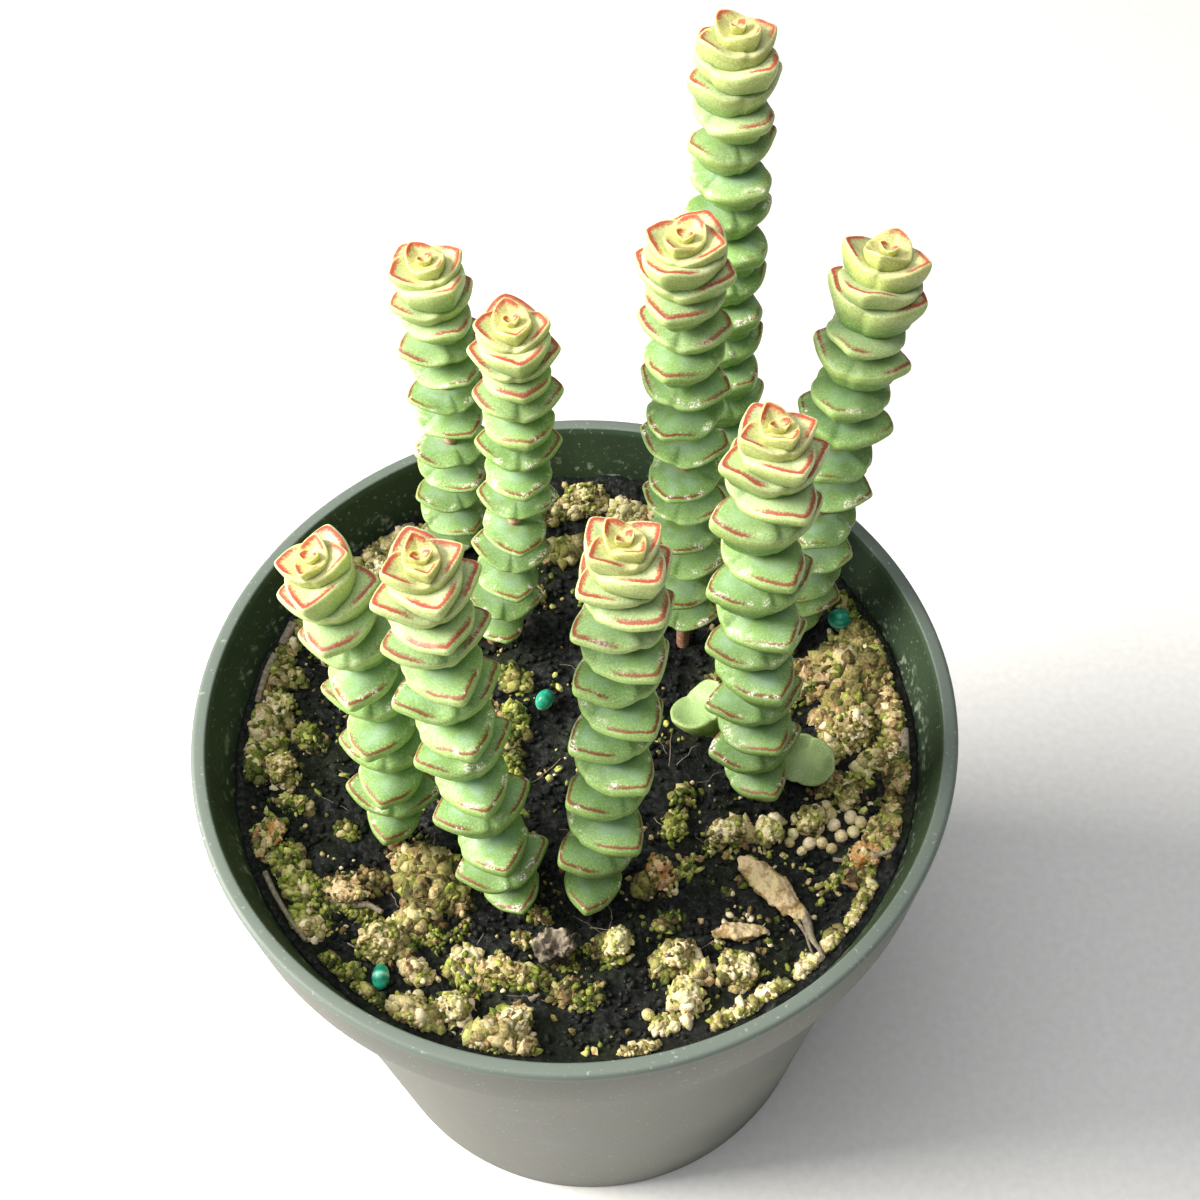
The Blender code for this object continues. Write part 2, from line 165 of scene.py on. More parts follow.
# Each stem: base and tip on the pot's plan in mm, height over the soil in mm, bow at mid height in
# mm, azimuth of the first leaf tips, turn of the second tips from square, and reach of a full grown
# leaf in mm.
STEMS = {
    "stem_back_tall": ((23.2, 29.2), (21.4, 32.5), 94.5, (-1.0, -0.7), -50, -25, 5.6),
    "stem_back_middle": ((16.0, 17.9), (15.2, 19.7), 77.2, (0.1, -0.1), -117, 5, 6.1),
    "stem_back_right": ((31.7, 20.1), (38.4, 21.4), 72.5, (-1.3, -4.0), -118, 4, 6.3),
    "stem_front_right": ((24.4, -7.6), (23.9, -2.5), 70.7, (-1.2, 0.5), -66, -8, 7.0),
    "stem_back_left": ((-18.2, 36.3), (-15.5, 35.3), 60.7, (1.6, -0.8), -54, -12, 5.9),
    "stem_middle_left": ((-11.6, 20.0), (-4.6, 19.3), 65.5, (2.1, 0.1), -79, -12, 5.7),
    "stem_front_left": ((-25.0, -12.9), (-25.6, -13.8), 65.7, (2.9, 0.3), -103, 12, 6.2),
    "stem_front_middle": ((-8.5, -21.6), (-13.1, -19.7), 73.2, (-1.4, 0.6), -70, 0, 6.5),
    "stem_front_centre": ((0.9, -22.4), (6.9, -19.5), 74.7, (1.2, -0.7), -54, -5, 6.4),
    "shoot_right": ((19.4, 2.6), (16.0, 3.4), 8, (0.0, 0.0), -150, 0, 4.2),
    "shoot_front_right": ((31.8, -2.8), (30.6, -6.6), 6, (0.0, 0.0), -25, 0, 4.2),
}
# How far below its tip each leaf pair of a stem lies, in mm, youngest first
DEPTHS = {
    "stem_back_tall": (
        1.4, 2.8, 4.9, 7.6, 11.6, 15.8, 20.3, 25.0, 29.8, 35.2, 40.0, 45.6, 50.3, 56.0, 61.5, 67.5,
        74.0, 80.5, 87.0, 91.8,
    ),
    "stem_back_middle": (
        1.3, 2.2, 3.4, 6.2, 9.4, 14.3, 18.6, 24.0, 28.8, 34.4, 40.4, 45.5, 51.0, 57.0, 63.0, 69.5,
    ),
    "stem_back_right": (
        1.3, 2.4, 5.1, 6.9, 12.0, 15.2, 20.6, 25.0, 31.0, 36.8, 43.5, 50.0, 56.0, 61.5, 66.8,
    ),
    "stem_front_right": (
        1.4, 2.6, 4.4, 6.9, 10.6, 15.2, 22.0, 27.0, 32.9, 38.0, 43.0, 49.6, 54.8, 59.8, 65.4,
    ),
    "stem_back_left": (
        1.1, 2.3, 3.5, 7.2, 10.2, 15.0, 19.0, 24.4, 28.8, 35.6, 40.0, 45.6, 51.0, 56.4,
    ),
    "stem_middle_left": (
        1.0, 2.3, 3.5, 6.5, 9.2, 13.5, 17.6, 22.8, 27.8, 33.3, 39.6, 44.5, 50.0, 55.8, 61.0,
    ),
    "stem_front_left": (0.8, 1.5, 3.3, 7.1, 11.0, 15.8, 22.0, 27.0, 34.0, 39.2, 46.0, 51.4, 56.9),
    "stem_front_middle": (
        1.3, 2.5, 4.1, 6.9, 10.5, 14.8, 19.5, 24.9, 30.8, 36.8, 43.2, 50.0, 57.6, 64.3, 69.3,
    ),
    "stem_front_centre": (
        1.5, 2.6, 4.1, 7.1, 9.6, 13.9, 18.1, 22.7, 28.2, 33.5, 39.4, 45.9, 53.2, 60.0, 68.5,
    ),
    "shoot_right": (2.8, 5.6),
    "shoot_front_right": (2.6, 4.4),
}
# Turn of the lowest pair out of the crossed order, in degrees
LOWEST_TURN = {"stem_front_centre": -50}

# Leaf pair mesh: a ball's columns crowd at the two tips and the two seams between the leaves
PAIR_COLUMNS = 60
PAIR_ROWS = 26
CROWDING = 0.6
PAIR_WIDTH = 0.72
OUTLINE_POWER = 1.58
ROUND_POWER = 1.80
ROUND_WIDTH = 0.80
SHOOT_POWER = 2.2
SHOOT_WIDTH = 0.86
TIP_POINT = 0.05
TIP_POINT_WIDTH = 0.16
TIP_THICKNESS = 0.35
NOTCH_DEPTH = 0.055
NOTCH_WIDTH = 0.14
SEAM_DIP = 0.012
SEAM_DIP_WIDTH = 0.20
LIFT_POWER = 4.0
YOUNG_LIFT_POWER = 2.2
LOBE_TWIST = 0.035
LOBE_TURN = 0.10
LOBE_WIDTH = 0.40
WAVES = (2, 3, 5)
WAVE_HEIGHT = 0.018
DEEPEST_FOOT = 1.15
# How much shorter the red lines of some stems are, up to none at all
LESS_RED = {
    "stem_back_tall": 0.25,
    "stem_back_right": 0.18,
    "stem_back_left": 0.12,
    "stem_middle_left": 0.08,
    "shoot_right": 1.0,
    "shoot_front_right": 1.0,
}
# Reach of a shoot's first pair as a share of a full grown one
FIRST_REACH = {"shoot_right": 1.0, "shoot_front_right": 1.0}
# The least age of a shoot's leaves, as a share of full grown
SHOOT_AGE = {"shoot_right": 0.55, "shoot_front_right": 0.45}
# Stems whose older leaves are thin enough to show the bare stem: the first such pair, and its foot
THIN_STEMS = {
    "stem_back_left": (6, 0.50),
    "stem_middle_left": (9, 0.52),
    "stem_back_middle": (8, 0.52),
    "stem_back_right": (9, 0.54),
}
# How many pairs it takes them to become that thin
THINNING_PAIRS = 4
# Which row of the two tables below lies on the margin
CREST = 6
# Rows of a full grown pair, from the middle of its top over the margin to its foot: share of the
# outline, how far it has gone from the top's height to the margin's, and share of the pair's depth
OLD_ROWS = (
    (0.000, 0.00, 0.000),
    (0.400, 0.05, 0.000),
    (0.580, 0.28, 0.000),
    (0.740, 0.56, 0.000),
    (0.860, 0.81, 0.002),
    (0.935, 0.95, 0.010),
    (0.980, 1.00, 0.032),
    (1.002, 1.00, 0.075),
    (1.004, 1.00, 0.135),
    (0.970, 1.00, 0.205),
    (0.890, 0.92, 0.290),
    (0.760, 0.68, 0.420),
    (0.620, 0.36, 0.700),
    (0.000, 0.00, 1.000),
)
# The same rows of a bud's pair, which has a fuller top and a taller rounded side
YOUNG_ROWS = (
    (0.000, 0.00, 0.000),
    (0.300, 0.06, 0.000),
    (0.500, 0.24, 0.000),
    (0.680, 0.52, 0.000),
    (0.820, 0.80, 0.000),
    (0.915, 0.95, 0.004),
    (0.970, 1.00, 0.020),
    (0.995, 1.00, 0.060),
    (1.005, 1.00, 0.120),
    (1.000, 0.99, 0.220),
    (0.970, 0.95, 0.360),
    (0.900, 0.85, 0.540),
    (0.740, 0.60, 0.760),
    (0.000, 0.00, 1.000),
)
LEAST_DEPTH = 1.8
BUD_REACH = 0.19
BUD_RISE = 0.55
BUD_DEPTH = 1.1
FULL_AGE = 7.0
STEM_RADIUS = 0.95
STEM_STEP = 2.5
STEM_SIDES = 3
STEM_END = 2.0
ROOT_DEPTH = 8.5
TONE_SPREAD = 0.12

# Loose pieces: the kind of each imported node, by the first word of its name
KINDS = {
    "pumice": "pumice",
    "pebble": "pumice",
    "chunk": "pumice",
    "stone": "bark",
    "bark": "bark",
    "chip": "bark",
    "stick": "bark",
    "bead": "bead",
    "stump": "wood",
    "lump": "pumice",
}
# Relief on each kind, in mm: height and size of its lumps, then of its grains
RELIEF = {
    "pumice": (0.45, 1.9, 0.26, 0.50),
    "bark": (0.36, 2.0, 0.18, 0.50),
    "bead": (0.02, 1.2, 0.00, 1.0),
    "wood": (0.50, 1.6, 0.20, 0.5),
}
LUMP_OCTAVES = (0.7, 2.0, 3)
CLUSTER_SIZE = 1.0
CLUSTER_HEIGHT = 0.40
CLUSTER_MIDDLE = 0.4
# How far apart the pieces' patterns start, and in mm how close two corners are the same
START_SPREAD = 9
SAME_PLACE = 0.001
PIECE_LEVELS = 3
BEAD_LEVELS = 2
# Tones from dark (0) to pale (1): the mean, and what a face turned up, a blotch and the piece add.
# A face turned up is painted paler: partly a painted top light, partly the greener, mossier sides
MEAN_TONE = 0.35
TOP_TONE_AND_LIGHT = 0.4
BLOTCH_TONE = 0.6
BLOTCH_SIZE = 1.6
PIECE_TONES = 0.2
WOOD_TONE = -0.25
# Half the width in mm of the pale line round a bead
BEAD_LINE = 0.22
# Pieces of newly broken bark, which are more orange
FRESH_BARK = ("bark_front_orange", "bark_right_edge", "stone_left_orange")
# The stump's torn top, in mm: its hollow, and its ridges, which are stretched upwards
HOLLOW_WIDTH = 1.4
HOLLOW_DEPTH = 2.0
RIDGE_HEIGHT = 0.9
RIDGE_SIZE = 0.8
RIDGE_STRETCH = 0.3
# A bead that lies on its side: how much longer and lower it is than its upright solid
LYING_BEAD = "bead_front_left"
LYING_LENGTH = 1.4
LYING_HEIGHT = 0.8
# Smooth pieces, which carry no grains, then how many grains a square mm of the others carries,
# their widths in mm, and how far down a piece's side they reach
SMOOTH_PIECES = ("bark_big", "chip_front_smooth", "stick_right", "stump")
COVER_GRAINS = 2.2
COVER_WIDTHS = (0.35, 1.0)
LOWEST_COVER = -0.2
# Grains at a loose piece's foot: how many for each mm of its width, how far out as shares of that
# width, their widths in mm and how high they may lie
FOOT_GRAINS = 5
FOOT_RING = (0.38, 0.62)
FOOT_WIDTHS = (0.5, 1.3)
FOOT_LIFTS = (0.0, 0.5)

# Litter on the mix: heaps of small grains, as the two ends of their line on the pot's plan and
# their width, in mm
LITTER = {
    "pumice": (
        (-46.0, 6.5, -42.0, 9.0, 4.4), (-44.5, 11.5, -43.5, 12.5, 2.6),
        (-41.6, -2.3, -39.2, -2.3, 2.6), (-36.4, -25.4, -34.4, -24.0, 3.4),
        (-27.4, -28.8, -24.6, -27.6, 3.4), (-24.0, -27.0, -22.4, -24.6, 3.2),
        (-22.4, -30.2, -20.4, -32.6, 3.0), (-23.6, -38.4, -20.8, -38.0, 4.2),
        (-17.4, -38.6, -15.6, -36.6, 3.4), (-16.2, -31.6, -14.6, -30.4, 3.2),
        (-12.8, -41.6, -9.4, -38.8, 5.0), (-9.4, -42.6, -7.0, -42.6, 3.6),
        (10.0, -33.0, 10.8, -31.0, 3.2), (13.2, -32.4, 15.4, -33.8, 3.2),
        (12.4, -38.6, 12.9, -35.5, 3.4), (18.6, -34.4, 20.6, -33.4, 3.4),
        (20.2, -14.2, 21.6, -13.4, 3.4), (24.6, -14.2, 26.2, -13.6, 3.2),
        (34.6, -2.4, 37.2, -1.6, 3.8), (39.8, -4.2, 41.8, -3.2, 3.4), (38.0, 1.2, 39.8, 0.8, 3.4),
        (9.0, -40.4, 10.8, -40.0, 2.8), (16.4, -40.6, 18.2, -40.2, 2.8),
        (19.6, -39.8, 21.4, -39.2, 3.0), (23.4, -37.0, 25.0, -35.8, 3.0),
        (28.0, -34.2, 29.6, -32.4, 3.0), (32.2, -30.6, 34.0, -28.2, 2.8),
        (5.0, -43.6, 8.6, -43.2, 2.4), (44.8, 17.6, 46.0, 19.6, 3.0),
        (-29.0, 43.0, -25.0, 44.6, 4.4), (-32.0, 37.6, -28.6, 40.4, 4.6),
        (-35.0, 31.6, -32.0, 34.4, 4.6), (-38.4, 27.6, -35.6, 30.0, 4.0),
        (-24.6, 39.0, -22.0, 41.0, 3.8), (-2.0, 34.4, 1.0, 35.2, 4.0),
        (-7.0, 41.0, -2.0, 42.0, 3.2), (0.0, 43.2, 5.0, 43.4, 3.2), (7.0, 42.4, 11.0, 41.6, 3.2),
        (12.6, 41.8, 15.6, 40.6, 3.0), (-19.6, 25.2, -16.4, 26.8, 4.0),
        (-26.0, 23.6, -23.0, 25.4, 4.0), (-7.0, 26.0, -5.0, 27.0, 3.2),
        (36.6, -24.8, 38.4, -23.2, 2.8), (40.4, -17.2, 41.8, -15.8, 2.6),
        (35.4, -26.8, 36.6, -25.4, 2.4), (-9.0, -7.0, -8.0, -6.0, 2.4),
        (42.6, 12.0, 44.0, 9.6, 2.6), (-16.6, 44.0, -13.0, 44.8, 3.2),
    ),
    "moss": (
        (-45.6, 0.6, -44.2, 3.0, 3.6), (-38.8, -14.0, -37.0, -18.6, 3.4),
        (-37.4, -17.8, -33.6, -20.4, 3.0), (-33.8, -20.4, -26.4, -23.4, 2.4),
        (-34.6, -19.6, -33.4, -25.8, 2.6), (-40.6, -14.2, -39.0, -15.4, 2.6),
        (-43.0, 25.4, -41.2, 22.8, 3.8), (-43.8, 21.6, -43.0, 19.4, 3.4),
        (-43.2, 17.0, -42.4, 14.6, 3.8), (-40.8, 15.6, -39.4, 14.2, 3.0),
        (-38.0, 4.6, -36.2, 3.4, 3.4), (-42.6, 4.4, -41.6, 2.6, 3.2),
        (-40.6, -5.4, -38.6, -5.8, 2.2), (-22.6, -29.4, -19.4, -26.0, 2.0),
        (-17.0, -27.4, -14.8, -25.2, 1.8), (-31.0, -31.4, -28.8, -30.6, 2.8),
        (-35.6, -31.4, -33.2, -29.6, 2.8), (-29.4, -33.8, -27.0, -34.6, 2.8),
        (-17.0, -32.0, -5.4, -34.0, 3.2), (-15.4, -35.2, -13.4, -34.2, 2.4),
        (-13.8, -43.0, -11.6, -43.4, 2.4), (3.2, -31.4, 4.6, -30.6, 2.6),
        (0.4, -30.2, 2.2, -29.4, 2.2), (10.4, -27.4, 12.0, -26.2, 2.8),
        (-0.6, -37.0, 1.8, -36.0, 2.8), (39.2, 25.0, 42.4, 23.2, 3.6),
        (43.8, -4.2, 45.0, -6.0, 3.0), (19.0, -13.2, 17.0, -17.2, 1.8),
        (-9.4, 13.6, -7.8, 10.8, 3.6), (-9.0, 7.4, -8.0, 4.0, 3.4), (-9.6, 1.4, -8.4, -2.4, 3.2),
        (13.8, -19.6, 15.2, -17.6, 2.4), (12.4, -14.0, 13.2, -10.8, 2.8),
        (13.8, -9.2, 15.0, -7.4, 2.6), (35.6, -19.4, 37.4, -20.6, 2.8),
        (38.8, -0.8, 40.6, 1.6, 2.8), (-37.0, 21.6, -35.0, 18.6, 3.6),
        (-32.6, 28.4, -30.4, 26.4, 3.8), (32.6, -22.2, 34.4, -20.8, 2.2),
        (-36.8, -20.0, -26.0, -24.2, 1.6), (-33.0, -21.0, -31.0, -17.6, 1.5),
        (-30.6, -22.6, -29.4, -20.4, 1.4), (42.6, -1.0, 41.4, 3.6, 2.6),
        (36.4, -6.4, 39.6, -7.4, 2.4), (-20.6, -38.0, -18.2, -34.8, 2.2),
        (-46.4, 1.9, -44.4, -0.2, 4.0), (-35.9, -22.2, -37.3, -26.0, 3.0),
        (-39.8, -14.7, -36.6, -19.8, 3.4), (-32.1, -10.6, -30.4, -11.4, 2.4),
        (-38.8, -7.2, -37.4, -6.4, 2.6), (-18.7, -27.8, -19.5, -25.6, 2.4),
        (-3.8, -31.0, -1.0, -31.6, 1.8), (22.6, -42.0, 21.4, -40.4, 1.6),
        (-26.6, -36.4, -25.0, -35.4, 2.6),
    ),
    "bark": (
        (-44.6, -13.6, -43.6, -12.2, 2.8), (-29.2, -17.8, -25.8, -18.8, 2.8),
        (-22.6, -16.4, -17.6, -18.6, 4.6), (-21.6, -20.0, -18.0, -21.4, 4.8),
        (-22.0, -23.6, -19.4, -24.6, 4.0), (-16.4, -21.6, -15.6, -23.4, 3.2),
        (-24.0, -15.6, -22.6, -16.6, 3.2), (8.4, -22.0, 9.6, -20.0, 3.0),
        (2.6, -29.4, 4.0, -28.2, 2.8), (-3.2, -35.8, -1.4, -35.2, 2.8),
        (35.8, -21.2, 37.0, -20.0, 3.2), (40.4, 17.4, 41.6, 15.6, 3.4),
        (38.4, 14.6, 39.8, 12.8, 3.2), (41.8, 10.6, 43.4, 8.6, 3.2), (45.4, 5.2, 46.0, 3.0, 2.8),
        (43.6, 7.6, 44.8, 6.0, 3.0), (40.0, 12.0, 41.2, 10.4, 2.8), (36.8, -17.8, 38.0, -17.2, 2.6),
        (-16.6, 14.6, -14.6, 13.4, 3.2), (-13.8, 8.8, -12.2, 7.2, 2.8),
        (26.8, 12.8, 28.2, 11.2, 2.8), (19.8, 10.4, 21.2, 8.6, 3.0),
        (-6.0, -24.6, -4.4, -25.8, 2.2), (-8.6, -27.4, -6.8, -28.6, 2.2),
        (36.0, 11.7, 40.3, 9.2, 5.6), (40.3, 9.2, 44.6, 12.1, 5.0), (41.3, 17.0, 44.1, 18.5, 4.0),
        (44.6, 12.1, 45.8, 16.0, 3.4), (45.0, 5.8, 45.0, 1.3, 4.2), (40.9, 3.8, 37.3, 6.2, 4.6),
        (34.4, 3.4, 37.7, -1.3, 3.4), (43.7, -3.8, 44.3, -8.8, 4.0),
        (42.4, -13.6, 39.7, -15.5, 3.4), (32.0, 12.0, 34.0, 8.4, 3.6),
        (33.0, -8.0, 35.0, -6.6, 3.0), (-22.1, -24.1, -23.1, -26.4, 3.6),
    ),
}
# The least and the greatest tone of a heap of each kind, then how many grains lie on a square mm of
# a heap, and its height as a share of its width
HEAP_TONES = {"pumice": (0.35, 0.75), "moss": (0.25, 0.6), "bark": (0.15, 0.55)}
HEAP_GRAINS = 5.6
HEAP_HEIGHT = 0.55
# What a heap of each kind, and the foot of a loose piece, is really made of
MIXES = {
    "pumice": {"pumice": 0.54, "moss": 0.30, "bark": 0.16},
    "moss": {"moss": 0.80, "pumice": 0.12, "bark": 0.08},
    "bark": {"bark": 0.56, "pumice": 0.20, "moss": 0.24},
    "foot": {"moss": 0.42, "pumice": 0.33, "bark": 0.25},
}
# How far towards the camera a place found by its pixel moves for each mm that the mix is higher
LINE_OF_SIGHT = 0.71
# Grains of each kind: least and greatest width as shares of the heap's, how long, and how uneven
GRAIN_LOOK = {
    "peat": (0.30, 0.50, 1.2, 0.35),
    "pumice": (0.26, 0.72, 1.35, 0.34),
    "bark": (0.20, 0.56, 1.7, 0.36),
    "moss": (0.18, 0.46, 2.2, 0.32),
}
GRAIN_THICKNESS = 0.75
GRAIN_TONES = 0.4
GRAIN_LEVELS = 1
# Round pale granules in a group: place and width in mm
GRANULES = (
    (29.4, -12.4, 1.9), (30.3, -14.1, 2.0), (31.9, -11.7, 1.9), (32.1, -13.6, 2.1),
    (32.4, -16.0, 1.8), (33.9, -12.0, 2.1), (34.2, -13.6, 1.9), (35.0, -15.3, 2.0),
    (36.1, -10.7, 2.3), (36.6, -12.7, 2.0), (36.7, -14.8, 1.9), (30.7, -16.0, 1.9),
    (28.7, -14.6, 1.7), (33.6, -16.9, 1.7), (37.8, -13.6, 1.8), (29.6, -17.2, 1.5),
    (28.1, -15.8, 1.6), (33.5, -10.5, 1.8), (8.0, -39.0, 1.8), (-21.0, -35.1, 1.6),
)
GRANULE_SHAPE = (1.0, 0.9, 0.85)
GRANULE_LIFT = 0.3
GRANULE_UNEVEN = 0.05
GRANULE_TONES = (0.55, 0.9)
GRANULE_LEVELS = 4
# Loose crumbs all over: how many of each kind, and their least and greatest width in mm
CRUMBS = {
    "peat": (2600, 0.4, 1.4),
    "pumice": (800, 0.25, 0.8),
    "bark": (700, 0.3, 1.1),
    "moss": (1500, 0.3, 1.1),
}
CRUMB_REACH = 0.97
CRUMB_LIFT = 0.2
CRUMB_TONES = (0.1, 0.9)
# Crumbs other than peat lie in patches: the patches' size in mm, how ragged their edge is, and
# where each kind's pattern starts
PATCH_SIZE = 7.0
PATCH_EDGE = (-0.1, 0.35)
PATCH_STARTS = {"pumice": 1.3, "bark": 4.1, "moss": 1.9}
LITTER_SLOTS = {"peat": "soil", "pumice": "pumice", "bark": "bark", "moss": "leaf"}
# Sticks and roots, in mm: each end on the pot's plan with its height over the mix, then each
# end's radius
STICKS = (
    ((-45.4, 23.4, 2.4), (-45.9, 18.8, 1.6), 0.75, 0.6),
    ((-46.0, 16.4, 1.8), (-46.0, 8.8, 1.2), 0.6, 0.45),
    ((-34.6, -20.4, 0.6), (-26.3, -23.5, 1.6), 0.8, 0.35),
    ((-44.0, -19.5, 1.5), (-37.5, -30.0, 1.0), 0.4, 0.3),
    ((-30.2, -28.0, 0.7), (-25.0, -30.2, 0.9), 0.14, 0.1),
    ((33.7, -19.0, 0.6), (37.6, -19.6, 1.2), 0.35, 0.2),
    ((37.4, -20.0, 1.0), (42.0, -19.5, 2.2), 0.5, 0.25),
    ((-17.0, -32.0, 0.6), (-5.0, -34.2, 0.8), 0.6, 0.35),
    ((28.6, -27.0, 1.2), (30.2, -34.0, 1.4), 0.7, 0.2),
    ((28.2, -27.6, 0.9), (29.2, -33.6, 0.8), 0.3, 0.12),
    ((12.0, 6.9, 0.3), (11.9, 3.7, 2.6), 0.5, 0.35),
    ((44.3, -5.2, 0.8), (46.0, -1.4, 1.6), 0.8, 0.5),
    ((-34.7, 41.0, 1.2), (-27.6, 45.6, 1.8), 1.2, 0.7),
    ((-6.8, -36.4, 0.4), (-5.6, -35.8, 0.9), 0.5, 0.15),
)
# Sticks: points along each, how far each point strays as a share of the length, room to the wall
STICK_BENDS = 5
STICK_SIDES = 1
STICK_WANDER = 0.06
STICK_SHADE = 0.55
WALL_ROOM = 0.3
# Hair roots all over, in mm
FIBRE_COUNT = 50
FIBRE_REACH = 0.85
FIBRE_ROOM = 1.0
FIBRE_LENGTH = (2.0, 6.0)
FIBRE_RADIUS = (0.04, 0.08)
FIBRE_TAPER = 0.6
FIBRE_LIFTS = (0.2, 0.9)


# Materials: the shared helpers


def colour(hex_code):
    """An sRGB hex colour as linear red, green, blue and alpha."""
    channels = [int(hex_code[i : i + 2], 16) / 255 for i in (1, 3, 5)]
    return (*[c / 12.92 if c <= 0.04045 else ((c + 0.055) / 1.055) ** 2.4 for c in channels], 1.0)


def add(tree, kind, inputs=None, out=0, ramp=None, **settings):
    """Adds a node with its settings, sets or links its inputs, and returns the output asked for."""
    node = tree.nodes.new(kind)
    for key, value in settings.items():
        setattr(node, key, value)
    for key, value in (inputs or {}).items():
        if isinstance(value, bpy.types.NodeSocket):
            tree.links.new(value, node.inputs[key])
        else:
            node.inputs[key].default_value = value
    if ramp:
        elements = node.color_ramp.elements
        for place, shade in ramp[1:-1]:
            elements.new(place)
        for element, (place, shade) in zip(elements, ramp):
            element.position = place
            element.color = shade
    return node.outputs[out] if node.outputs else node


def new_material(name):
    """An empty node material, its tree, and the place on the object that its patterns follow."""
    material = bpy.data.materials.new(name)
    material.use_nodes = True
    tree = material.node_tree
    tree.nodes.clear()
    return material, tree, add(tree, "ShaderNodeTexCoord", out="Object")


def close_material(material, inputs):
    """Ends a material with its shader and its output."""
    shader = add(material.node_tree, "ShaderNodeBsdfPrincipled", inputs)
    add(material.node_tree, "ShaderNodeOutputMaterial", {"Surface": shader})
    return material


def attribute(tree, name):
    """What the mesh's points say under this name."""
    return add(tree, "ShaderNodeAttribute", attribute_name=name, out="Fac")


def cloudy(tree, place, size, detail):
    """A noise whose patches are about this many mm wide."""
    inputs = {"Vector": place, "Scale": 1 / (size * MM), "Detail": detail}
    return add(tree, "ShaderNodeTexNoise", inputs)


def cells(tree, place, size):
    """How far each place is from the middle of its cell, for cells this many mm wide."""
    inputs = {"Vector": place, "Scale": 1 / (size * MM)}
    return add(tree, "ShaderNodeTexVoronoi", inputs, out="Distance")


def rescaled(tree, value, start, end, low=0.0, high=1.0, curve="LINEAR"):
    """The value carried over from start and end to low and high, and held at both."""
    inputs = {"Value": value, "From Min": start, "From Max": end, "To Min": low, "To Max": high}
    return add(tree, "ShaderNodeMapRange", inputs, interpolation_type=curve)


def sum_of(tree, operation, *values):
    """One step of arithmetic."""
    return add(tree, "ShaderNodeMath", dict(enumerate(values)), operation=operation)


def product(tree, first, *others):
    """All these values multiplied."""
    for other in others:
        first = sum_of(tree, "MULTIPLY", first, other)
    return first


def over(tree, share, under, paint):
    """One colour laid over another by this share. Either may be a hex code."""
    under, paint = (colour(each) if isinstance(each, str) else each for each in (under, paint))
    return add(tree, "ShaderNodeMix", {0: share, 6: under, 7: paint}, out=2, data_type="RGBA")


def shaded(tree, value, *steps):
    """A ramp of hex colours, each at its own value."""
    ramp = [(at, colour(code)) for at, code in steps]
    return add(tree, "ShaderNodeValToRGB", {"Fac": value}, ramp=ramp)


def bumps(tree, height, strength, distance):
    """A normal that this height has raised, by a distance in mm."""
    inputs = {"Height": height, "Strength": strength, "Distance": distance * MM}
    return add(tree, "ShaderNodeBump", inputs)


